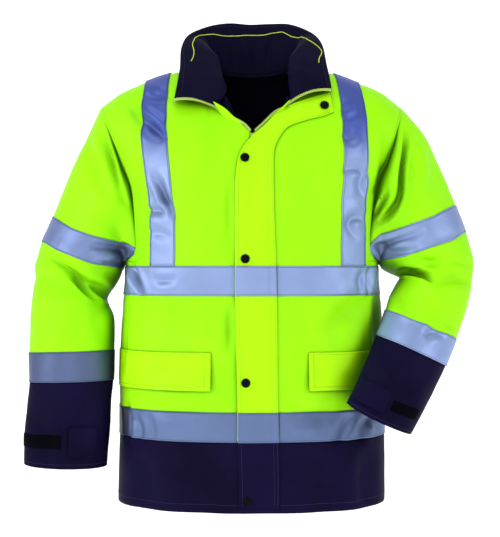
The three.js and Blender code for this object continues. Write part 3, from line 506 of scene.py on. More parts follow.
def mixed(add, share, first, second):
    """A mix of two colours, each a socket or three numbers."""
    node = add("ShaderNodeMix", {"Factor": share}, data_type="RGBA")
    for key, colour in ((MIX_A, first), (MIX_B, second)):
        if isinstance(colour, bpy.types.NodeSocket):
            node.id_data.links.new(colour, node.inputs[key])
        else:
            node.inputs[key].default_value = (*colour, 1)
    return node.outputs[MIX_RESULT]


def paint_fold_shade(tree, shader, add, colour, painted_fold_shade):
    """Paints a colour over to its painted shade colour where the cloth lies close to other cloth."""
    nearness = add("ShaderNodeAmbientOcclusion", {"Distance": PAINTED_SHADE_REACH}, samples=6)
    open_share = add("ShaderNodeMapRange", {"Value": nearness.outputs["AO"], "From Min": 0.25,
                                            "From Max": 0.88}, interpolation_type="SMOOTHSTEP")
    tree.links.new(mixed(add, open_share.outputs[0], painted_fold_shade, colour), shader.inputs["Base Color"])


def woven(name, dark, light, roughness, weave=0.35, painted_glow=(0, 0, 0), specular=0.12, painted_fold_shade=None,
          patchy=1.6):
    """Plain-woven coated cloth: crossing yarns, an uneven colour, painted shade in folds, and faint
    crumpling.
    """
    material, tree, shader, add = node_material(name, roughness, specular)
    place = add("ShaderNodeTexCoord")
    over, under = [
        add("ShaderNodeTexWave", {"Vector": place.outputs["UV"], "Scale": 0.31 / WEAVE_PITCH,
                                  "Distortion": 0.6, "Detail Scale": 3.0}, bands_direction=way)
        for way in "XY"
    ]
    yarns = add("ShaderNodeMath", {0: over.outputs["Fac"], 1: under.outputs["Fac"]}, operation="MULTIPLY")
    crumple = noise(add, place, 26.0, 5.0, Roughness=0.55)
    patches = noise(add, place, 7.0, 3.0)
    spread = add("ShaderNodeMath", {0: patches, 1: patchy, 2: 0.8 - patchy / 2},
                 operation="MULTIPLY_ADD")
    tone = add("ShaderNodeMath", {0: spread.outputs[0], 1: yarns.outputs[0]}, operation="MULTIPLY")
    colour = mixed(add, tone.outputs[0], dark, light)
    if painted_fold_shade:
        paint_fold_shade(tree, shader, add, colour, painted_fold_shade)
    else:
        tree.links.new(colour, shader.inputs["Base Color"])
    fine = bump(add, yarns.outputs[0], weave, 0.25)
    tree.links.new(bump(add, crumple, 0.35, 3, fine), shader.inputs["Normal"])
    # A faint painted glow of green, which keeps the fluorescent yellow green even in its shade.
    shader.inputs["Emission Color"].default_value = (*painted_glow, 1)
    shader.inputs["Emission Strength"].default_value = 1.0 if any(painted_glow) else 0.0
    return material


# The yellow cloths' painted glow: green light painted into the cloth, not lit by any lamp.
GREEN_PAINTED_GLOW = (0.0, 0.02, 0.0)
# The painted shade colour of the yellow cloth in its folds and where it lies close to other cloth.
YELLOW_PAINTED_FOLD_SHADE = (0.07, 0.16, 0.0)
yellow_cloth = woven("yellow_cloth", (0.27, 0.88, 0.0), (0.63, 0.96, 0.008), 0.5, painted_glow=GREEN_PAINTED_GLOW,
                     painted_fold_shade=YELLOW_PAINTED_FOLD_SHADE)
navy_cloth = woven("navy_cloth", (0.004, 0.0025, 0.020), (0.011, 0.007, 0.048), 0.6, specular=0.04,
                   patchy=6.0)
# The body's lining is the collar's lining cloth painted darker, as painted shade for the inside of the
# jacket.
navy_lining_painted_dark = woven("navy_lining_painted_dark", (0.0015, 0.0012, 0.007), (0.004, 0.003, 0.017), 0.6, weave=0.2,
                    specular=0.02)
lined_yellow = [yellow_cloth, navy_lining_painted_dark]
lined_navy = [navy_cloth, navy_lining_painted_dark]
yellow_thread = plain("yellow_thread", (0.20, 0.50, 0.01), 0.7, 0.2, 0.1, 900.0)
navy_thread = plain("navy_thread", (0.03, 0.025, 0.09), 0.6, 0.2, 0.1, 900.0)
STARTS = {"right": ZIP_HALF - ZIP_X, "left": ZIP_HALF + ZIP_X}

for side, start in STARTS.items():
    sew(f"front_{side}_cloth", panel(FRONT, side, start), (0, -1, 0), lined_yellow, CLOTH_THICK,
        "cloth_yellow", f"front_{side}")
    sew(f"hem_front_{side}_cloth", hem_panel(FRONT, side, start), (0, -1, 0), lined_navy, CLOTH_THICK,
        "cloth_navy", f"hem_front_{side}")
sew("back_cloth", both_sides(panel(BACK, "right", 0), panel(BACK, "left", 0)), (0, 1, 0), lined_yellow,
    CLOTH_THICK, "cloth_yellow", "back")
sew("hem_back_cloth", both_sides(hem_panel(BACK, "right", 0), hem_panel(BACK, "left", 0)), (0, 1, 0),
    lined_navy, CLOTH_THICK, "cloth_navy", "hem_back")
HEM_TOPSTITCH = 14
ARMHOLE_TOPSTITCH = 4
BESIDE_ZIP = 8
ON_TOP = 0.1
hem_lines, armhole_lines = [], []
for side, sign in SIDES.items():
    for face, start in ((FRONT, BESIDE_ZIP), (BACK, 0)):
        x = columns_across(start, HEM_Z, half_width(HEM_Z), INNER_COLUMNS, OUTER_COLUMNS)
        hem_lines.append(body(face, sign * x, HEM_Z + HEM_TOPSTITCH, ON_TOP))
        edge = armhole["back" if face == BACK else side](np.linspace(3, ARMHOLE_ROWS - 1.2, 120))
        armhole_lines.append(body(face, sign * (edge[:, 0] - ARMHOLE_TOPSTITCH), edge[:, 1], ON_TOP))
topstitch("hem_stitches", hem_lines, navy_thread, "cloth_navy")
topstitch("armhole_stitches", armhole_lines, yellow_thread, "cloth_yellow")

# The sleeves: each a yellow tube set into its armhole, with a navy forearm and an open cuff.
# They are sewn round the armhole seam and crumple at the armpit and at the bend of the elbow.
SLEEVE_RIGHT = [
    dict(out=(-299, 0, -101), under=(-231, 0, -329), deep=88, bow=28, rise=4),
    dict(out=(-326, 0, -160), under=(-233, 0, -336), deep=86, bow=16, rise=8),
    dict(out=(-357, 0, -236), under=(-235, 0, -343), deep=84, bow=8, rise=14),
    dict(out=(-377, 0, -287), under=(-239, 0, -352), deep=80, bow=3, rise=16),
    dict(out=(-389, 0, -328), under=(-246, -2, -363), deep=76, bow=0, rise=12),
    dict(out=(-391, -3, -363), under=(-253, -6, -376), deep=64, bow=0, rise=8),
    dict(out=(-394, -8, -397), under=(-257, -12, -392), deep=71, bow=0, rise=4),
    dict(out=(-396, -14, -434), under=(-246, -18, -421), deep=67, bow=0, rise=2),
    dict(out=(-396, -22, -482), under=(-245, -26, -477), deep=63, bow=0, rise=2),
    dict(out=(-394, -32, -533), under=(-246, -36, -529), deep=59, bow=0, rise=2),
    dict(out=(-397, -38, -570), under=(-250, -42, -569), deep=57, bow=0, rise=0),
    dict(out=(-400, -46, -618), under=(-250, -50, -618), deep=51, bow=0, rise=0),
    dict(out=(-399, -56, -674), under=(-253, -60, -677), deep=44, bow=0, rise=-3),
]
SLEEVE_LEFT = [
    dict(out=(305, 0, -84), under=(231, 0, -328), deep=88, bow=28, rise=4),
    dict(out=(336, 0, -141), under=(234, 0, -333), deep=86, bow=16, rise=8),
    dict(out=(368, -4, -221), under=(238, -2, -336), deep=84, bow=8, rise=14),
    dict(out=(385, -10, -269), under=(246, -8, -340), deep=80, bow=3, rise=14),
    dict(out=(394, -18, -311), under=(254, -16, -345), deep=75, bow=0, rise=8),
    dict(out=(394, -26, -336), under=(262, -24, -350), deep=64, bow=0, rise=4),
    dict(out=(389, -36, -363), under=(256, -34, -360), deep=70, bow=0, rise=0),
    dict(out=(377, -54, -403), under=(243, -54, -380), deep=66, bow=0, rise=0),
    dict(out=(354, -82, -455), under=(232, -84, -405), deep=62, bow=0, rise=2),
    dict(out=(332, -106, -499), under=(213, -112, -446), deep=58, bow=0, rise=2),
    dict(out=(312, -122, -534), under=(196, -134, -482), deep=54, bow=0, rise=0),
    dict(out=(291, -140, -571), under=(177, -156, -522), deep=49, bow=0, rise=0),
    dict(out=(267, -156, -609), under=(157, -178, -555), deep=44, bow=0, rise=-3),
]
SLEEVE_TABLES = {"right": SLEEVE_RIGHT, "left": SLEEVE_LEFT}
# Where each sleeve sinks: section, degrees round from the outside by the front, reach both ways, depth.
SLEEVE_HOLLOWS = {
    "right": [
        dict(s=1.6, degrees=112, long=0.9, wide=20, deep=8),
        dict(s=5.6, degrees=70, long=0.4, wide=60, deep=7),
        dict(s=5.8, degrees=300, long=0.5, wide=50, deep=6),
        dict(s=7.9, degrees=60, long=0.7, wide=30, deep=5),
        dict(s=1.8, degrees=245, long=0.9, wide=22, deep=8),
    ],
    "left": [
        dict(s=1.5, degrees=100, long=1.0, wide=18, deep=10),
        dict(s=5.1, degrees=130, long=0.5, wide=45, deep=7),
        dict(s=6.6, degrees=60, long=0.5, wide=40, deep=6),
        dict(s=5.6, degrees=250, long=0.5, wide=50, deep=7),
        dict(s=1.7, degrees=250, long=0.9, wide=22, deep=8),
    ],
}
# The sleeves' creases, as seen from the front like the body's.
SLEEVE_CREASES = {
    "right": creases(
        FRONT,
        ([(-262, -86), (-254, -112), (-240, -150), (-226, -196), (-214, -226)], 9.0, (3, 12)),
        ([(-272, -84), (-266, -120), (-252, -160), (-238, -200)], -5.4, (6, 9)),
        ([(-290, -104), (-276, -150), (-250, -196), (-238, -216)], 6.0, (14, 12)),
        ([(-356, -313), (-339, -325), (-314, -347), (-295, -368), (-272, -388)], 12.0, (14, 4)),
        ([(-360, -330), (-336, -346), (-316, -366)], -4.5, (6, 14)),
        ([(-286, -357), (-272, -371), (-258, -386), (-250, -392)], 10.5, (10, 3.5)),
        ([(-390, -316), (-362, -310), (-340, -318)], 4.2, (12, 12)),
        ([(-282, -296), (-262, -296), (-236, -300), (-214, -308)], 9.0, (9, 6)),
        ([(-272, -312), (-254, -316), (-236, -318)], -4.5, (5, 6)),
        ([(-262, -322), (-246, -322), (-230, -324)], 5.1, (5, 5)),
        ([(-290, -398), (-296, -430), (-300, -474)], 6.0, (16, 18)),
        ([(-262, -396), (-270, -420), (-262, -460)], 4.5, (10, 12)),
        ([(-386, -400), (-360, -430), (-346, -480)], -3.9, (20, 22)),
        ([(-262, -520), (-290, -600), (-300, -660)], 6.6, (16, 20)),
        ([(-380, -590), (-352, -630), (-356, -682)], 4.5, (14, 16)),
    ) + creases(
        BACK,
        ([(-268, -100), (-250, -170), (-232, -236)], 9.8, (7, 14)),
        ([(-388, -320), (-330, -350), (-268, -362)], 9.8, (12, 6)),
        ([(-380, -400), (-330, -392), (-276, -420)], 7.2, (10, 14)),
        ([(-366, -600), (-330, -560), (-320, -490)], 5.4, (14, 18)),
        ([(-356, -196), (-310, -240), (-256, -262)], 6.9, (14, 10)),
    ),
    "left": creases(
        FRONT,
        ([(276, -78), (271, -120), (264, -160), (258, -212), (238, -242), (206, -258)], 16.5, (4, 13)),
        ([(268, -78), (263, -120), (254, -164), (249, -208), (232, -232)], -8.2, (4, 9)),
        ([(238, -196), (224, -222), (206, -246)], 12.0, (6, 3)),
        ([(300, -110), (296, -170), (286, -206)], -5.1, (12, 14)),
        ([(284, -120), (280, -160), (274, -210)], 4.5, (9, 12)),
        ([(322, -112), (330, -180), (350, -230)], 4.5, (20, 16)),
        ([(300, -262), (268, -280), (232, -292), (206, -296)], 9.8, (9, 6)),
        ([(286, -296), (256, -306), (224, -304)], 8.2, (5, 8)),
        ([(274, -282), (256, -290), (236, -298)], -4.5, (5, 5)),
        ([(252, -343), (270, -340), (296, -346), (314, -354)], 12.0, (8, 3.5)),
        ([(280, -318), (312, -306), (368, -298)], -5.1, (10, 10)),
        ([(274, -308), (300, -320), (330, -322)], 6.0, (9, 7)),
        ([(394, -330), (350, -320), (312, -332)], 5.4, (9, 10)),
        ([(388, -358), (340, -352), (296, -364)], 5.4, (8, 10)),
        ([(376, -296), (340, -302), (310, -312)], 4.5, (8, 8)),
        ([(254, -368), (262, -392), (284, -420)], 5.4, (9, 12)),
        ([(330, -446), (306, -438), (286, -446)], 6.6, (9, 7)),
        ([(356, -440), (338, -428), (318, -424)], 4.5, (7, 9)),
        ([(208, -470), (236, -500), (250, -546)], 6.6, (14, 14)),
        ([(296, -500), (262, -520), (250, -566)], 5.1, (12, 14)),
    ) + creases(
        BACK,
        ([(266, -100), (250, -180), (234, -250)], 9.8, (14, 7)),
        ([(392, -296), (340, -336), (276, -342)], 10.2, (6, 12)),
        ([(386, -366), (330, -372), (280, -398)], 7.8, (12, 8)),
        ([(356, -196), (312, -240), (256, -264)], 6.9, (10, 14)),
        ([(344, -440), (290, -452), (248, -506)], 6.0, (14, 12)),
    ),
}
# How far the sleeves sink right beside the armhole's seam, by degrees round from the outside.
SEAM_SINK = {
    "right": pairs((0, 0), (40, 3), (65, 9), (90, 12), (115, 13), (150, 9), (190, 4), (230, 8), (290, 7),
                   (330, 3), (360, 0)),
    "left": pairs((0, 0), (40, 3), (65, 10), (90, 14), (115, 15), (140, 12), (190, 4), (230, 8), (290, 7),
                  (330, 3), (360, 0)),
}
SLEEVE_END = 13
RING_COLUMNS = 156


def armhole_loop(side):
    """Points of the armhole's edge from the shoulder down the front and up the back, and their angles."""
    sign = SIDES[side]
    down = np.linspace(ARMHOLE_ROWS - 1, 0, RING_COLUMNS // 2 + 1)
    front = armhole[side](down)
    rear = armhole["back"](down[::-1])[1:-1]
    points = np.concatenate([body(FRONT, sign * front[:, 0], front[:, 1]),
                             body(BACK, sign * rear[:, 0], rear[:, 1])])
    turn = len(front) - 1
    points[[0, turn], 1] = 0
    axis = points[0] - points[turn]
    deepest = np.abs(points[:, 1]).max()
    share = (points - points[turn]) @ axis / (axis @ axis)
    angle = np.arctan2(np.abs(points[:, 1]) / deepest, 2 * share - 1)
    angle[turn + 1:] = 2 * np.pi - angle[turn + 1:]
    return points, angle


def sleeve_rings(side):
    """A sleeve's smooth sections: the armhole's own edge, then a ring for each row of its table."""
    seam, angle = armhole_loop(side)
    rings = [seam]
    for row in SLEEVE_TABLES[side]:
        out, under = np.array(row["out"], float), np.array(row["under"], float)
        half, middle = (out - under) / 2, (out + under) / 2
        along = np.array([-half[2], 0, half[0]])
        along *= np.sign(along[2]) / np.linalg.norm(along)
        sine, cosine = np.sin(angle)[:, None], np.cos(angle)[:, None]
        rings.append(middle + half * cosine + np.array([0, -row["deep"], 0]) * sine
                     + np.array([-SIDES[side] * row["bow"], 0, 0]) * sine**2 + along * row["rise"] * sine)
    return np.array(rings), angle


sleeve_shape = {side: sleeve_rings(side) for side in SIDES}


def sleeve(side, s, degrees, lift=0.0):
    """Points on a sleeve at sections s down and degrees round from its outer side, by the front."""
    rings, angle = sleeve_shape[side]
    s, degrees = np.broadcast_arrays(np.asarray(s, float), np.asarray(degrees, float))

    def smooth(s, degrees):
        turned = np.radians(degrees) % (2 * np.pi)
        wrapped = np.append(angle, 2 * np.pi)
        low = np.clip(np.searchsorted(wrapped, turned, side="right") - 1, 0, len(angle) - 1)
        mix = ((turned - wrapped[low]) / (wrapped[low + 1] - wrapped[low]))[..., None]
        first = np.clip(np.floor(s).astype(int), 0, SLEEVE_END - 1)
        f = (s - first)[..., None]
        a, b, c, d = [
            rings[k, low] * (1 - mix) + rings[k, (low + 1) % len(angle)] * mix
            for k in (np.clip(first + shift, 0, SLEEVE_END) for shift in (-1, 0, 1, 2))
        ]
        point = b + 0.5 * f * (c - a + f * (2 * a - 5 * b + 4 * c - d + f * (3 * (b - c) + d - a)))
        centre = rings[first].mean(-2) * (1 - f) + rings[np.clip(first + 1, 0, SLEEVE_END)].mean(-2) * f
        deep = 0
        for row in SLEEVE_HOLLOWS[side]:
            down = (s - row["s"]) / row["long"]
            round_ = (np.degrees(turned) - row["degrees"]) / row["wide"]
            deep = deep + row["deep"] * np.exp(-down * down - round_ * round_)
        inwards = centre - point
        inwards /= np.linalg.norm(inwards, axis=-1, keepdims=True)
        return point + inwards * (deep * np.minimum(s, 1))[..., None]

    point = smooth(s, degrees)
    down = smooth(np.minimum(s + 0.05, SLEEVE_END), degrees) - smooth(np.maximum(s - 0.05, 0), degrees)
    around = smooth(s, degrees + 4) - smooth(s, degrees - 4)
    normal = np.cross(down, around) * -SIDES[side]
    normal /= np.linalg.norm(normal, axis=-1, keepdims=True)
    height = crease_height(point[..., 0], point[..., 2], cloth_facing(normal), SLEEVE_CREASES[side])
    height = height + 0.8 * unevenness(point, 120, 7) + 0.25 * unevenness(point, 40, 9)
    beside_seam = np.clip(s / 0.06, 0, 1) * np.exp(-np.maximum(s - 0.06, 0) / 0.22)
    height = height * np.clip(s / 0.12, 0, 1) - SEAM_SINK[side](degrees % 360) * beside_seam
    return point + normal * (height + lift)[..., None]


def sleeve_tube(side, first, last):
    """A stretch of a sleeve from one section to another, with closer rows beside the armhole."""
    near_seam = [0.015, 0.03, 0.05, 0.075, 0.1, 0.15, 0.2, 0.3, 0.4] if first == 0 else []
    whole = range(int(np.ceil(first + 0.01)), int(np.floor(last - 0.01)) + 1)
    rows = steps_between([first, *near_seam, *whole, last], 0.11)
    columns = np.linspace(0, 360, RING_COLUMNS + 1)
    return sleeve(side, rows[:, None], columns[None, :])


YELLOW_END = 9.996
NAVY_START = 10.004
CUFF_TOPSTITCH = 12.82
for side, sign in SIDES.items():
    sew(f"sleeve_{side}_cloth", sleeve_tube(side, 0, YELLOW_END), (-sign, 0, 0), lined_yellow,
        CLOTH_THICK, "cloth_yellow", f"sleeve_{side}", closed=True)
    sew(f"forearm_{side}_cloth", sleeve_tube(side, NAVY_START, SLEEVE_END), (-sign, 0, 0), lined_navy,
        CLOTH_THICK, "cloth_navy", f"forearm_{side}", closed=True)
    around = sleeve(side, np.full(200, CUFF_TOPSTITCH), np.linspace(0, 360, 200), ON_TOP)
    topstitch(f"cuff_{side}_stitches", [around], navy_thread, "cloth_navy")

# The reflective tapes: 50 mm glass-bead film on a woven backing, laid flat and sewn along both edges.
# Two run round the body, two over the shoulders like braces and two round each sleeve.
TAPE_RISE = 1.2
TAPE_THICK = 0.6
BRACE_HALF = 22
SHOULDER_Z = 14
brace_middle = {
    "right": pairs((-330, 152), (-230, 153), (-150, 163), (-60, 168), (14, 166)),
    "left": pairs((-330, 173), (-230, 174), (-150, 178), (-60, 176), (14, 168)),
}


def reflective(name, colour, painted_shade_by_place=None, crumple=1.0):
    """Grey-blue glass-bead film: a beaded grain and some crumpling.

    Its painted shade is an axis, a start and an end in metres along it, and the second, darker colour
    painted from there on as shade.
    """
    material, tree, shader, add = node_material(name, 0.5)
    shader.inputs["Metallic"].default_value = 0.4
    place = add("ShaderNodeTexCoord")
    beads = noise(add, place, 900.0, 2.0)
    dents = noise(add, place, 34.0, 4.0, Roughness=0.6, Distortion=0.8)
    wear = noise(add, place, 11.0, 3.0)
    worn, fresh, painted_film_shade = [[share * part for part in colour] for share in (0.78, 1.2, 0.22)]
    shown = mixed(add, wear, worn, fresh)
    # Painted shade by place: the colour goes over to a darker one along an axis.
    if painted_shade_by_place:
        axis, start, end, other = painted_shade_by_place
        parts = add("ShaderNodeSeparateXYZ", {"Vector": place.outputs["Object"]})
        share = add("ShaderNodeMapRange", {"Value": parts.outputs[axis], "From Min": start,
                                           "From Max": end}, interpolation_type="SMOOTHSTEP")
        shown = mixed(add, share.outputs[0], shown, other)
    # Painted shade: the film goes darker where it lies close to cloth.
    paint_fold_shade(tree, shader, add, shown, painted_film_shade)
    grain = bump(add, beads, 0.25, 0.3)
    tree.links.new(bump(add, dents, 0.4, 2.4 * crumple, grain), shader.inputs["Normal"])
    return material


FILM = (0.26, 0.355, 0.64)
film = reflective("reflective_film", FILM)
# The braces' film is painted darker towards their tops, as painted shade over the shoulders.
film_brace = reflective("reflective_film_brace", FILM, ("Z", -0.16, -0.09, (0.06, 0.10, 0.40)))
# The hem's film is darker than the chest's; towards its end at the wearer's right side it is painted darker
# still, as painted shade of the sleeve.
film_hem = reflective("reflective_film_hem", (0.12, 0.18, 0.36),
                      ("X", -0.209, -0.216, (0.012, 0.015, 0.035)), crumple=1.4)
# The bands on the wearer's right sleeve are the same film painted darker, the lower band most, as painted
# shade on that sleeve.
film_band_right_painted_dark = {
    "upper": reflective("reflective_film_upper_right", (0.17, 0.235, 0.46)),
    "lower": reflective("reflective_film_lower_right", (0.085, 0.12, 0.25), crumple=1.4),
}
tape_thread = plain("tape_thread", (0.03, 0.045, 0.10), 0.6, 0.2, 0.1, 900.0)
STITCH_INSET = 2.2


def tape_half(face, side, start, heights, lift=TAPE_RISE):
    """One side of a tape round the body, by its heights."""
    rows = [(columns_across(start, z, half_width(z), 12, 44), z) for z in heights]
    x = np.array([row[0] for row in rows]) * SIDES[side]
    return body(face, x, np.array([[row[1]] for row in rows]), lift)


def brace(side, offsets, lift=TAPE_RISE):
    """A tape over the shoulder, from the chest tape in front to the one behind."""
    bottom = CHEST_TAPE_Z + TAPE_WIDTH + SEAM_GAP
    share = 1 - np.linspace(1, 0, 130) ** 2
    x = brace_middle[side](bottom + (SHOULDER_Z - bottom) * share)[:, None] + offsets
    z = bottom + (shoulder(x) - bottom) * share[:, None]
    front, rear = [body(face, x * SIDES[side], z, lift) for face in (FRONT, BACK)]
    return np.concatenate([front, rear[-2::-1]])


# The upper bands' edges, as sections down the sleeve by degrees from its outside. They run up into the
# armpit, and the lower bands lie over the seam of the navy forearm.
BAND_TOP = {
    "right": pairs((0, 3.05), (60, 3.17), (80, 3.03), (95, 2.79), (105, 2.53), (112, 2.3), (118, 2.03),
                   (124, 1.69), (129.5, 1.2), (132, 0.05), (180, 0.05)),
    "left": pairs((0, 3.0), (60, 2.97), (80, 2.78), (95, 2.51), (105, 2.22), (112, 1.92), (118, 1.54),
                  (124, 1.03), (128, 0.5), (131, 0.05), (180, 0.05)),
}
BAND_FOOT = {
    "right": pairs((0, 3.98), (35, 4.12), (60, 4.29), (95, 4.33), (112, 4.27), (124, 4.08), (136, 3.72),
                   (150, 3.02), (160, 2.38), (180, 1.5)),
    "left": pairs((0, 3.98), (35, 4.1), (60, 4.24), (95, 4.15), (112, 4.0), (124, 3.76), (136, 3.18),
                  (142, 2.69), (150, 1.85), (160, 1.0), (180, 0.7)),
}
LOWER_BAND = (9.0, 10.02)
BAND_COLUMNS = 300


def band(place, side, shares, lift=TAPE_RISE):
    """A tape round a sleeve, by shares from its top edge to its foot."""
    degrees = np.linspace(0, 360, BAND_COLUMNS + 1)
    from_outside = np.minimum(degrees, 360 - degrees)
    top, foot = [np.full(degrees.shape, section) for section in LOWER_BAND]
    if place == "upper":
        top, foot = BAND_TOP[side](from_outside), BAND_FOOT[side](from_outside)
    sections = top + (foot - top) * np.asarray(shares)[:, None]
    return sleeve(side, sections, degrees[None, :], lift)


# The left tapes begin just under the storm flap's sewn edge.
BODY_TAPES = {
    "chest": dict(bottom=CHEST_TAPE_Z, left_start=41.0, finish=film),
    "hem": dict(bottom=NAVY_Z, left_start=44.6, finish=film_hem),
}
NEAR_EDGES = (STITCH_INSET / TAPE_WIDTH, 1 - STITCH_INSET / TAPE_WIDTH)
body_lines, sleeve_lines = [], []
for name, row in BODY_TAPES.items():
    heights = np.linspace(row["bottom"], row["bottom"] + TAPE_WIDTH, 15)
    near_edges = [row["bottom"] + share * TAPE_WIDTH for share in NEAR_EDGES]
    for side, start in (("right", STARTS["right"]), ("left", row["left_start"])):
        sew(f"tape_{name}_{side}_film", tape_half(FRONT, side, start, heights), (0, -1, 0),
            [row["finish"]], TAPE_THICK, "reflective_tape", f"tape_{name}_{side}")
        for face, begin in ((FRONT, start), (BACK, 0)):
            body_lines += list(tape_half(face, side, begin, near_edges, TAPE_RISE + ON_TOP))
    behind = both_sides(tape_half(BACK, "right", 0, heights), tape_half(BACK, "left", 0, heights))
    sew(f"tape_{name}_back_film", behind, (0, 1, 0), [row["finish"]], TAPE_THICK, "reflective_tape",
        f"tape_{name}_back")
for side, sign in SIDES.items():
    sew(f"tape_brace_{side}_film", brace(side, np.linspace(-BRACE_HALF, BRACE_HALF, 13)), (0, 0, 1),
        [film_brace], TAPE_THICK, "reflective_tape", f"tape_brace_{side}")
    inset = BRACE_HALF - STITCH_INSET
    body_lines += list(brace(side, np.array([-inset, inset]), TAPE_RISE + ON_TOP).swapaxes(0, 1))
    for place in ("upper", "lower"):
        finish = film_band_right_painted_dark[place] if side == "right" else film
        sew(f"band_{place}_{side}_film", band(place, side, np.linspace(0, 1, 16)), (-sign, 0, 0),
            [finish], TAPE_THICK, "reflective_tape", f"band_{place}_{side}",
            closed=True)
        sleeve_lines += list(band(place, side, NEAR_EDGES, TAPE_RISE + ON_TOP))
for name, lines in (("body", body_lines), ("sleeve", sleeve_lines)):
    topstitch(f"{name}_tape_stitches", lines, tape_thread, "reflective_tape")

# The storm flap over the zip: two layers of the yellow cloth, sewn on the wearer's left and free on the
# right. Its foot is navy up to the bottom tape. The tapes cross it, and press studs hold its free edge.
FLAP_THICK = 2
FLAP_FREE = [(-21, -742), (-22, -680), (-24, -625), (-24, -560), (-26, -470), (-28, -380), (-28, -329),
             (-28, -250), (-28, -200), (-27, -172), (-22, -144), (-12, -124), (2, -108), (20, -92),
             (40, -72), (62, -57), (86, -47), (108, -40), (134, -32)]
FLAP_SEWN = [(47, -742), (47, -680), (46, -625), (44, -560), (43, -470), (42, -380), (41, -329),
             (38, -250), (37, -200), (37, -175), (37, -152), (38, -136), (42, -122), (52, -104),
             (64, -92), (84, -84), (104, -78), (120, -74), (140, -66)]
flap_free = curve(range(len(FLAP_FREE)), FLAP_FREE)
flap_sewn = curve(range(len(FLAP_SEWN)), FLAP_SEWN)
flap_rise = pairs((0, 2.8), (0.33, 2.6), (0.67, 1.1), (1, 0.6))
YELLOW_ROW = 2.05
# How far the topstitched seams draw the flap in, by depth and share across it.
FLAP_DENTS = ((0.7, 0.86), (0.5, 0.09))
FLAP_DENT_REACH = 0.03


def seam_dents(share, rows, reach):
    """How deep topstitched seams lie at each share, from rows of depth and place."""
    return sum(deep * np.exp(-(((share - at) / reach) ** 2)) for deep, at in rows)


def flap(row, share, above=0.0):
    """Points of the flap by row up it and share across it from its free edge."""
    row, share = np.broadcast_arrays(np.asarray(row, float), np.asarray(share, float))
    free, sewn = flap_free(row), flap_sewn(row)
    place = free + (sewn - free) * share[..., None]
    sway = 0.7 * np.sin(place[..., 1] / 41 + 1) * (1 - share) ** 2
    lift = flap_rise(share) + FLAP_THICK + above - seam_dents(share, FLAP_DENTS, FLAP_DENT_REACH) + sway
    return body(FRONT, place[..., 0], place[..., 1], lift)


flap_yellow = woven("flap_yellow_cloth", (0.38, 0.90, 0.0), (0.62, 0.97, 0.006), 0.5, painted_glow=GREEN_PAINTED_GLOW,
                    painted_fold_shade=YELLOW_PAINTED_FOLD_SHADE)
across = np.linspace(0, 1, 25)[None, :]
yellow_rows = steps_between([YELLOW_ROW, *range(3, len(FLAP_FREE))], 0.12)[:, None]
navy_rows = np.linspace(0, YELLOW_ROW - 0.02, 31)[:, None]
sew("storm_flap_cloth", flap(yellow_rows, across), (0, -1, 0), [flap_yellow], FLAP_THICK, "flap_yellow",
    "storm_flap")
sew("storm_flap_hem_cloth", flap(navy_rows, across), (0, -1, 0), [navy_cloth], FLAP_THICK, "cloth_navy",
    "storm_flap_hem")
row_at = curve([place[1] for place in FLAP_FREE[:9]], range(9))
flap_tape_lines = []
for name, row in BODY_TAPES.items():
    rows = row_at(np.linspace(row["bottom"], row["bottom"] + TAPE_WIDTH, 15))[:, None]
    sew(f"tape_{name}_flap_film", flap(rows, np.linspace(0.012, 1, 25)[None, :], TAPE_RISE), (0, -1, 0),
        [row["finish"]], TAPE_THICK, "reflective_tape", f"tape_{name}_flap")
    edges = row_at(np.array([row["bottom"] + share * TAPE_WIDTH for share in NEAR_EDGES]))[:, None]
    flap_tape_lines += list(flap(edges, np.linspace(0.03, 0.97, 20)[None, :], TAPE_RISE + ON_TOP))
topstitch("flap_tape_stitches", flap_tape_lines, tape_thread, "reflective_tape")
FLAP_STITCHES = (0.09, 0.86, 0.95)
flap_parts = (("yellow", YELLOW_ROW, len(FLAP_FREE) - 1.2, yellow_thread, "flap_yellow"),
              ("navy", 0.2, YELLOW_ROW, navy_thread, "cloth_navy"))
for part, first, last, thread, slot in flap_parts:
    lines = [flap(np.linspace(first, last, 300), share, ON_TOP) for share in FLAP_STITCHES]
    topstitch(f"flap_{part}_stitches", lines, thread, slot)

# The press studs: black moulded caps with a low rim, through the flap's free edge.
STUDS = {"top": (-12, -147, 0.2), "chest": (-11, -317, 0.25), "waist": (-10, -524, 0.22),
         "hem": (-7, -722, 0.2), "collar": (124, -56, 0.3)}
STUD_PROFILE = [(0.0, 3.0), (3.2, 2.9), (4.6, 2.5), (5.0, 2.2), (5.5, 2.3), (6.1, 2.9), (6.9, 2.8),
                (7.4, 2.1), (7.5, 1.2), (7.5, 0.0)]
STUD_THICK = 0.6
STUD_SINK = 0.2
stud_black = plain("stud_plastic", (0.001, 0.001, 0.002), 0.45, 0.08, 0.05, 300.0)
stud_profile = curve(range(len(STUD_PROFILE)), STUD_PROFILE)(np.linspace(0, len(STUD_PROFILE) - 1, 28))
for name, (x, z, share) in STUDS.items():
    base = body(FRONT, x, z, flap_rise(share) + FLAP_THICK - STUD_SINK)
    normal = outward(FRONT, np.array([float(x)]), np.array([float(z)]))[0]
    side_way = np.cross(normal, (0, 0, 1))
    side_way /= np.linalg.norm(side_way)
    up_way = np.cross(side_way, normal)
    turn = np.linspace(0, 2 * np.pi, 49)
    round_ = np.cos(turn)[:, None] * side_way + np.sin(turn)[:, None] * up_way
    points = base + stud_profile[:, 0, None, None] * round_[None] + stud_profile[:, 1, None, None] * normal
    sew(f"stud_{name}_cap", points, normal, [stud_black], STUD_THICK, "stud", f"stud_{name}", closed=True)

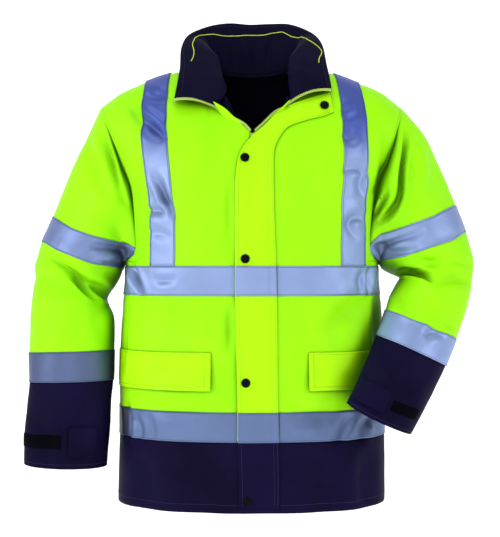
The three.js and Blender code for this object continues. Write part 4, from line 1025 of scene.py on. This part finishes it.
# The pocket flaps: two layers of yellow cloth sewn along the top, turned and topstitched round the edge.
POCKET_TOP_Z = -474
POCKET_HEIGHT = 64
POCKET_STARTS = {"right": 68, "left": 95}
POCKET_CREASES = {
    "right": creases(
        FRONT,
        ([(-98, -540), (-92, -518), (-74, -494)], 2.2, (4, 7)),
        ([(-190, -500), (-160, -508), (-130, -502)], 1.2, (8, 12)),
    ),
    "left": creases(
        FRONT,
        ([(100, -530), (112, -508), (104, -486)], 1.4, (5, 9)),
        ([(206, -512), (180, -520), (150, -510)], 1.2, (10, 9)),
    ),
}
POCKET_DENTS = ((0.4, 0.9), (0.4, 0.06))
POCKET_DENT_REACH = 0.02


def pocket_flap(side, down, share, above=0.0):
    """Points of a pocket flap: down it from the seam, and from its inner edge to its outer."""
    down, share = np.broadcast_arrays(np.asarray(down, float), np.asarray(share, float))
    z = POCKET_TOP_Z - POCKET_HEIGHT * down
    width = half_width(z)
    start = POCKET_STARTS[side]
    angles = [np.arcsin((x / width) ** (ROUNDNESS / 2)) for x in (start, width - 3)]
    x = SIDES[side] * width * np.sin(angles[0] + (angles[1] - angles[0]) * share) ** (2 / ROUNDNESS)
    rise = 0.4 + 4.6 * down * (1 - share**4)
    dent = seam_dents(down, POCKET_DENTS, POCKET_DENT_REACH)
    crease = crease_height(x, z, {FRONT: np.ones(x.shape)}, POCKET_CREASES[side])
    curl = 1.5 * down * np.exp(-share / 0.06)
    return body(FRONT, x, z, rise + FLAP_THICK + above - dent + crease + curl)


for side in SIDES:
    points = pocket_flap(side, np.linspace(0, 1, 22)[:, None], np.linspace(0, 1, 50)[None, :])
    sew(f"pocket_flap_{side}_cloth", points, (0, -1, 0), [flap_yellow], FLAP_THICK, "flap_yellow",
        f"pocket_flap_{side}")
    lines = [pocket_flap(side, down, np.linspace(0.03, 0.97, 60), ON_TOP) for down in (0.06, 0.9)]
    lines += [pocket_flap(side, np.linspace(0.06, 0.9, 20), share, ON_TOP) for share in (0.035, 0.965)]
    topstitch(f"pocket_flap_{side}_stitches", lines, yellow_thread, "flap_yellow")

# The collar: a tall stand collar of navy cloth outside and lining inside, sewn together round its edge.
# Its open front ends roll outwards; a pale piping runs round inside, and the zip's teeth edge its ends.
COLLAR = [
    dict(x=-57, z=-61, face=FRONT, bulge=(-98, -134, -40), top=(-133, -116, -45)),
    dict(x=-61, z=-47, face=FRONT, bulge=(-12, -150, -25), top=(-131, -104, -30)),
    dict(x=-65, z=-32, face=FRONT, bulge=(-14, -140, 10), top=(-129, -92, -14)),
    dict(x=-71, z=-6, face=FRONT, bulge=(-28, -100, 48), top=(-126, -62, 20)),
    dict(x=-77, z=24, face=FRONT, bulge=(-62, -28, 92), top=(-126, -20, 60)),
    dict(x=-74, z=30, face=BACK, bulge=(-72, 20, 86), top=(-114, 14, 91)),
    dict(x=-52, z=25, face=BACK, bulge=(-54, 48, 72), top=(-80, 42, 112)),
    dict(x=-26, z=22, face=BACK, bulge=(-26, 60, 66), top=(-42, 52, 120)),
    dict(x=0, z=21, face=BACK, bulge=(0, 62, 64), top=(-3, 55, 118)),
    dict(x=26, z=22, face=BACK, bulge=(26, 60, 66), top=(36, 53, 119)),
    dict(x=52, z=25, face=BACK, bulge=(54, 48, 72), top=(72, 44, 116)),
    dict(x=74, z=30, face=BACK, bulge=(74, 20, 86), top=(108, 18, 96)),
    dict(x=77, z=24, face=FRONT, bulge=(72, -28, 92), top=(126, -14, 68)),
    dict(x=73, z=-2, face=FRONT, bulge=(44, -96, 52), top=(132, -58, 24)),
    dict(x=70, z=-20, face=FRONT, bulge=(44, -120, 26), top=(136, -82, -4)),
    dict(x=68, z=-36, face=FRONT, bulge=(56, -132, -2), top=(137, -92, -16)),
    dict(x=65, z=-50, face=FRONT, bulge=(100, -122, -24), top=(137, -100, -26)),
]
COLLAR_LIFT = 1.4
COLLAR_LAYER = 1.0
stations = np.linspace(0, 1, len(COLLAR))
collar_curves = [
    curve(stations, [body(row["face"], row["x"], row["z"]) + (0, -COLLAR_LIFT, COLLAR_LIFT)
                     for row in COLLAR]),
    curve(stations, [row["bulge"] for row in COLLAR]),
    curve(stations, [row["top"] for row in COLLAR]),
]
# Creases in the collar, by share round it and share up it.
COLLAR_CREASES = creases(
    FRONT,
    ([(0.39, 0.1), (0.40, 0.5), (0.385, 0.95)], 3.0, (0.012, 0.016)),
    ([(0.445, 0.15), (0.455, 0.5), (0.44, 0.9)], 2.2, (0.014, 0.010)),
    ([(0.50, 0.05), (0.485, 0.4), (0.47, 0.85)], 2.6, (0.010, 0.018)),
    ([(0.545, 0.1), (0.55, 0.5), (0.565, 0.9)], 2.8, (0.016, 0.010)),
    ([(0.60, 0.2), (0.61, 0.55), (0.60, 0.95)], 2.2, (0.010, 0.016)),
    ([(0.30, 0.15), (0.31, 0.5), (0.33, 0.85)], 3.0, (0.014, 0.012)),
    ([(0.68, 0.15), (0.70, 0.5), (0.69, 0.85)], 3.0, (0.012, 0.014)),
    ([(0.86, 0.3), (0.84, 0.55), (0.86, 0.8)], -3.0, (0.018, 0.020)),
    ([(0.13, 0.25), (0.16, 0.5), (0.14, 0.8)], -2.6, (0.020, 0.016)),
    ([(0.22, 0.2), (0.20, 0.45), (0.23, 0.7)], 2.4, (0.014, 0.018)),
    ([(0.78, 0.2), (0.80, 0.45), (0.77, 0.7)], 2.4, (0.018, 0.014)),
)


def collar(s, h, lift=0.0):
    """Points of the collar: s round it from the wearer's right front, h up it from its seam."""
    s, h = np.broadcast_arrays(np.asarray(s, float), np.asarray(h, float))

    def smooth(s, h):
        seam, bulge, top = [along(s) for along in collar_curves]
        h = h[..., None]
        return seam * (1 - h) ** 2 + bulge * 2 * h * (1 - h) + top * h * h

    step = 0.01
    along = smooth(np.minimum(s + step, 1), h) - smooth(np.maximum(s - step, 0), h)
    up = smooth(s, np.minimum(h + step, 1)) - smooth(s, np.maximum(h - step, 0))
    normal = np.cross(up, along)
    normal /= np.linalg.norm(normal, axis=-1, keepdims=True)
    height = crease_height(s, h, {FRONT: np.sin(np.pi * np.clip(h, 0, 1)) ** 0.5}, COLLAR_CREASES)
    return smooth(s, h) + normal * (height + lift)[..., None]


COLLAR_HEIGHT = 110
COLLAR_ROUND = 640
COLLAR_MEET = 0.15


def collar_layer(s, h, out):
    """One layer of the collar, drawn in to the other along the last 3 mm before the free edges."""
    s, h = np.broadcast_arrays(s, h)
    to_edge = np.minimum(np.minimum((1 - h) * COLLAR_HEIGHT, s * COLLAR_ROUND), (1 - s) * COLLAR_ROUND)
    round_ = np.sqrt(1 - (1 - np.clip(to_edge / 3, 0, 1)) ** 2)
    return collar(s, h, COLLAR_MEET + (out - COLLAR_MEET) * round_)


around = steps_between(list(stations), 0.008)[None, :]
up = np.concatenate([np.linspace(0, 0.96, 34), np.linspace(0.97, 1, 8)])[:, None]
below_seam = -0.07 * np.clip(1 - np.abs(around - 0.5) / 0.26, 0, 1) ** 0.5
up = np.where(up == 0, below_seam, up)
collar_lining = woven("collar_lining", (0.003, 0.0025, 0.013), (0.011, 0.009, 0.042), 0.6, weave=0.2,
                      specular=0.03)
COLLAR_LAYERS = [
    dict(node="collar_outer", out=2.3, faces_to=(0, 1, 0), finish=navy_cloth, slot="cloth_navy"),
    dict(node="collar_inner", out=-2.0, faces_to=(0, -1, 0), finish=collar_lining, slot="lining"),
]
for row in COLLAR_LAYERS:
    sew(f"{row['node']}_cloth", collar_layer(around, up, row["out"]), row["faces_to"], [row["finish"]],
        COLLAR_LAYER, row["slot"], row["node"])
s = np.linspace(0.01, 0.99, 400)
collar_lines = [collar(s, np.full(s.shape, 0.95), lift) for lift in (2.4, -2.1)]
topstitch("collar_stitches", collar_lines, navy_thread, "cloth_navy")


def cord(name, path, radius, finish, slot, node=None):
    """A closed round cord along a path of points, with its ends drawn in."""
    sides = 10
    path = np.asarray(path, float)
    along = np.gradient(path, axis=0)
    along /= np.linalg.norm(along, axis=1, keepdims=True)
    over = np.cross(along, (0.3, -0.8, 0.5))
    over /= np.linalg.norm(over, axis=1, keepdims=True)
    third = np.cross(along, over)
    turn = np.linspace(0, 2 * np.pi, sides + 1)
    size = np.full(len(path), float(radius))
    size[[0, -1]] = 0.02
    points = path[:, None] + size[:, None, None] * (
        np.cos(turn)[None, :, None] * over[:, None] + np.sin(turn)[None, :, None] * third[:, None])
    middle = len(path) // 2
    sew(name, points, points[middle, sides // 2] - path[middle], [finish], 0, slot, node, closed=True)


pale_yellow = woven("pale_yellow_cord", (0.55, 0.80, 0.05), (0.75, 0.92, 0.12), 0.5)
PIPING_HEIGHT = pairs(
    (0.19, 0.885), (0.204, 0.845), (0.22, 0.82), (0.243, 0.815), (0.268, 0.78), (0.33, 0.805),
    (0.37, 0.82), (0.4, 0.78), (0.447, 0.777), (0.49, 0.81), (0.547, 0.807), (0.572, 0.828),
    (0.606, 0.836), (0.621, 0.807), (0.654, 0.72), (0.71, 0.66), (0.751, 0.70), (0.764, 0.845),
    (0.772, 0.925), (0.782, 0.95), (0.80, 0.916), (0.821, 0.90))
PIPING_RADIUS = 0.75
s = np.linspace(0.19, 0.821, 320)
piping = collar(s, PIPING_HEIGHT(s), -2.2)
cord("collar_piping_cord", piping, PIPING_RADIUS, pale_yellow, "piping", "collar_piping")

# The facings: the turned-out front edges of the lining, rolled over inside the V of the neck.
FACINGS = {
    "right": [(-4, (-3, -112, -108), (3, -98, -116)), (-13, (-11, -110, -97), (-2, -92, -104)),
              (-34, (-30, -106, -84), (-16, -84, -90)), (-55, (-37, -108, -61), (-28, -76, -66)),
              (-61, (-45, -106, -38), (-38, -76, -44))],
    "left": [(7, (6, -112, -108), (6, -98, -116)), (18, (16, -110, -97), (10, -92, -104)),
             (40, (38, -106, -80), (30, -84, -86)), (61, (58, -108, -54), (52, -76, -60)),
             (66, (62, -104, -38), (58, -74, -44))],
}
FACING_THICK = 1.0
for side, table in FACINGS.items():
    lines = []
    for x, roll, inner in table:
        edge = body(FRONT, x, neck_line[FRONT, side](abs(x)), -CLOTH_THICK - 0.5)
        halfway = (edge + roll) / 2
        lines.append(curve(range(4), [edge, halfway, roll, inner])(np.linspace(0, 3, 25)))
    along = curve(range(len(table)), np.array(lines).reshape(len(table), -1))
    points = along(np.linspace(0, len(table) - 1, 36)).reshape(36, 25, 3)
    sew(f"facing_{side}_cloth", points, (0, -0.5, 1), [collar_lining], FACING_THICK, "lining",
        f"facing_{side}")

# The zip: two pale tapes with moulded teeth. It is closed below the V and stands open above it,
# where one row of teeth runs up each neck edge and round the end of the collar.
zip_pale = plain("zip_plastic", (0.50, 0.66, 0.12), 0.4, 0.5, 0.05, 400.0)
ZIP_GUARDS = {
    "right": [(-0.5, -103), (-4.7, -92.5), (-13.2, -86), (-30.2, -74.8), (-46.3, -60.2), (-66, -49)],
    "left": [(2.5, -102.5), (14, -91.8), (22.5, -82.3), (42.9, -66.1), (56, -55), (65, -46.6)],
}
GUARD_ENDS = {"right": 54, "left": 60}
GUARD_SEAM = 9
GUARD_SEAM_END = 3
GUARD_REACH = 14
ZIP_EDGES = (-2.2, 5.2)
ZIP_THICK = 2.0
ZIP_EDGE_RADIUS = 0.9
TOOTH_PITCH = 3
TOOTH_SIZE = (4.2, 1.7)


def tooth(line, spot):
    bmesh.ops.create_cube(line, size=2, matrix=spot)


zip_z = np.linspace(HEM_Z + 6, -104, 150)
sew("zip_chain_cloth", body(FRONT, np.linspace(*ZIP_EDGES, 7)[None, :], zip_z[:, None]), (0, -1, 0),
    [zip_pale], ZIP_THICK, "zip", "zip_chain")
chain = [body(FRONT, np.full(zip_z.size, ZIP_X), zip_z, 0.4)]
strung("zip_chain_teeth", chain, TOOTH_PITCH, TOOTH_SIZE, tooth, zip_pale, "zip")
for side, end in (("right", 0.0), ("left", 1.0)):
    rolled = collar(np.full(60, end), np.linspace(0.985, 0.02, 60), 0.2)
    x = np.linspace(56, STARTS[side], 40)
    edge = body(FRONT, x * SIDES[side], neck_line[FRONT, side](x), 0.6)
    route = np.concatenate([rolled, edge])
    cord(f"zip_edge_{side}_cord", route, ZIP_EDGE_RADIUS, zip_pale, "zip")
    strung(f"zip_edge_{side}_teeth", [route], TOOTH_PITCH, TOOTH_SIZE, tooth, zip_pale, "zip")
    inner = np.array([(x, -128, z) for x, z in ZIP_GUARDS[side]])
    inner = curve(range(len(inner)), inner)(np.linspace(0, len(inner) - 1, 40))
    x = np.linspace(STARTS[side], GUARD_ENDS[side], 40)
    seam = GUARD_SEAM - (GUARD_SEAM - GUARD_SEAM_END) * np.clip(np.linspace(-4, 1, 40), 0, 1)
    outer = body(FRONT, x * SIDES[side], neck_line[FRONT, side](x) - seam, -CLOTH_THICK - 1.2)
    inner[:, 1] = outer[:, 1] - GUARD_REACH * np.linspace(0, 1, 40) ** 2
    share = np.linspace(0, 1, 9)[:, None, None]
    sew(f"zip_guard_{side}_cloth", outer * (1 - share) + inner * share, (0, -1, 0), [flap_yellow], 1.0,
        "flap_yellow", None)

# The cuffs' tabs: a navy strap and a strip of black hook tape on each, to close round the wrist.
# Each lies between two sections of the sleeve, by degrees round the cuff from its outer side.
hook_black = plain("hook_tape", (0.001, 0.001, 0.003), 0.9, 0.04, 0.6, 700.0)
CUFF_PARTS = {
    "cuff_tab": dict(sections=(11.8, 12.6), right=(98, 138), left=(95, 160), rows=20, columns=26, rise=3.15,
                     thick=2.0, finish=navy_cloth, slot="cloth_navy", ending="cloth"),
    "cuff_strip": dict(sections=(12.05, 12.4), right=(16, 88), left=(38, 88), rows=10, columns=30, rise=1.6,
                       thick=0.8, finish=hook_black, slot="hook_strip", ending="hooks"),
}
for side in SIDES:
    for node, row in CUFF_PARTS.items():
        down = np.linspace(*row["sections"], row["rows"])[:, None]
        across = np.linspace(*row[side], row["columns"])[None, :]
        sew(f"{node}_{side}_{row['ending']}", sleeve(side, down, across, row["rise"]), (0, -1, 0),
            [row["finish"]], row["thick"], row["slot"], f"{node}_{side}")

# The studio: a pale curved backdrop and floor, soft boxes in front, above and at both sides.
FLOOR_Z = -1.35
FLOOR_FRONT = -3.4
FLOOR_LENGTH = 5.2
BEND_LENGTH = 2.2
BEND_RADIUS = 1.4
BACKDROP_HALF = 7
backdrop_white = bpy.data.materials.new("backdrop_white")
backdrop_white.use_nodes = True
paper = backdrop_white.node_tree.nodes["Principled BSDF"]
paper.inputs["Base Color"].default_value = (0.9, 0.9, 0.9, 1)
paper.inputs["Roughness"].default_value = 1.0
paper.inputs["Specular IOR Level"].default_value = 0.0
paper.inputs["Emission Color"].default_value = (1, 1, 1, 1)
paper.inputs["Emission Strength"].default_value = 0.55
sweep = bmesh.new()
bmesh.ops.create_grid(sweep, x_segments=8, y_segments=48, size=1)
for vert in sweep.verts:
    along = (vert.co.y + 1) * 6
    bend = min(max((along - FLOOR_LENGTH) / BEND_LENGTH, 0), 1) * np.pi / 2
    flat = min(along, FLOOR_LENGTH) + BEND_RADIUS * np.sin(bend)
    rise = BEND_RADIUS * (1 - np.cos(bend)) + max(along - FLOOR_LENGTH - BEND_LENGTH, 0)
    vert.co = (vert.co.x * BACKDROP_HALF, FLOOR_FRONT + flat, FLOOR_Z + rise)
for face in sweep.faces:
    face.smooth = True
backdrop = placed("backdrop", sweep, [backdrop_white])

world = bpy.data.worlds.new("studio")
world.use_nodes = True
world.node_tree.nodes["Background"].inputs["Color"].default_value = (1, 1, 1, 1)
world.node_tree.nodes["Background"].inputs["Strength"].default_value = 0.24
bpy.context.scene.world = world
MIDDLE = Vector((0, 0, -0.35))
SOFT_BOXES = {
    "front": dict(place=(-0.5, -3.6, 0.5), size=2.0, watts=36),
    "right_side": dict(place=(-2.6, -1.5, 0.5), size=1.0, watts=38),
    "left_side": dict(place=(2.6, -1.5, 0.4), size=1.0, watts=28),
    "top": dict(place=(0, -0.5, 2.4), size=1.4, watts=26),
}
for name, row in SOFT_BOXES.items():
    light = bpy.data.lights.new(name, "AREA")
    light.size = row["size"]
    light.energy = row["watts"]
    lamp = bpy.data.objects.new(name, light)
    lamp.location = row["place"]
    lamp.rotation_euler = (MIDDLE - Vector(row["place"])).to_track_quat("-Z", "Y").to_euler()
    bpy.context.scene.collection.objects.link(lamp)

# The camera stands 2.16 m in front of the jacket's middle plane, level with its waist.
camera_data = bpy.data.cameras.new("camera")
camera_data.lens = 80.3
camera_data.sensor_width = 36
camera = bpy.data.objects.new("camera", camera_data)
camera.location = (-0.003, -2.16, -0.333)
camera.rotation_euler = (np.pi / 2, 0, 0)
bpy.context.scene.collection.objects.link(camera)
bpy.context.scene.camera = camera
bpy.context.scene.view_settings.view_transform = "Standard"
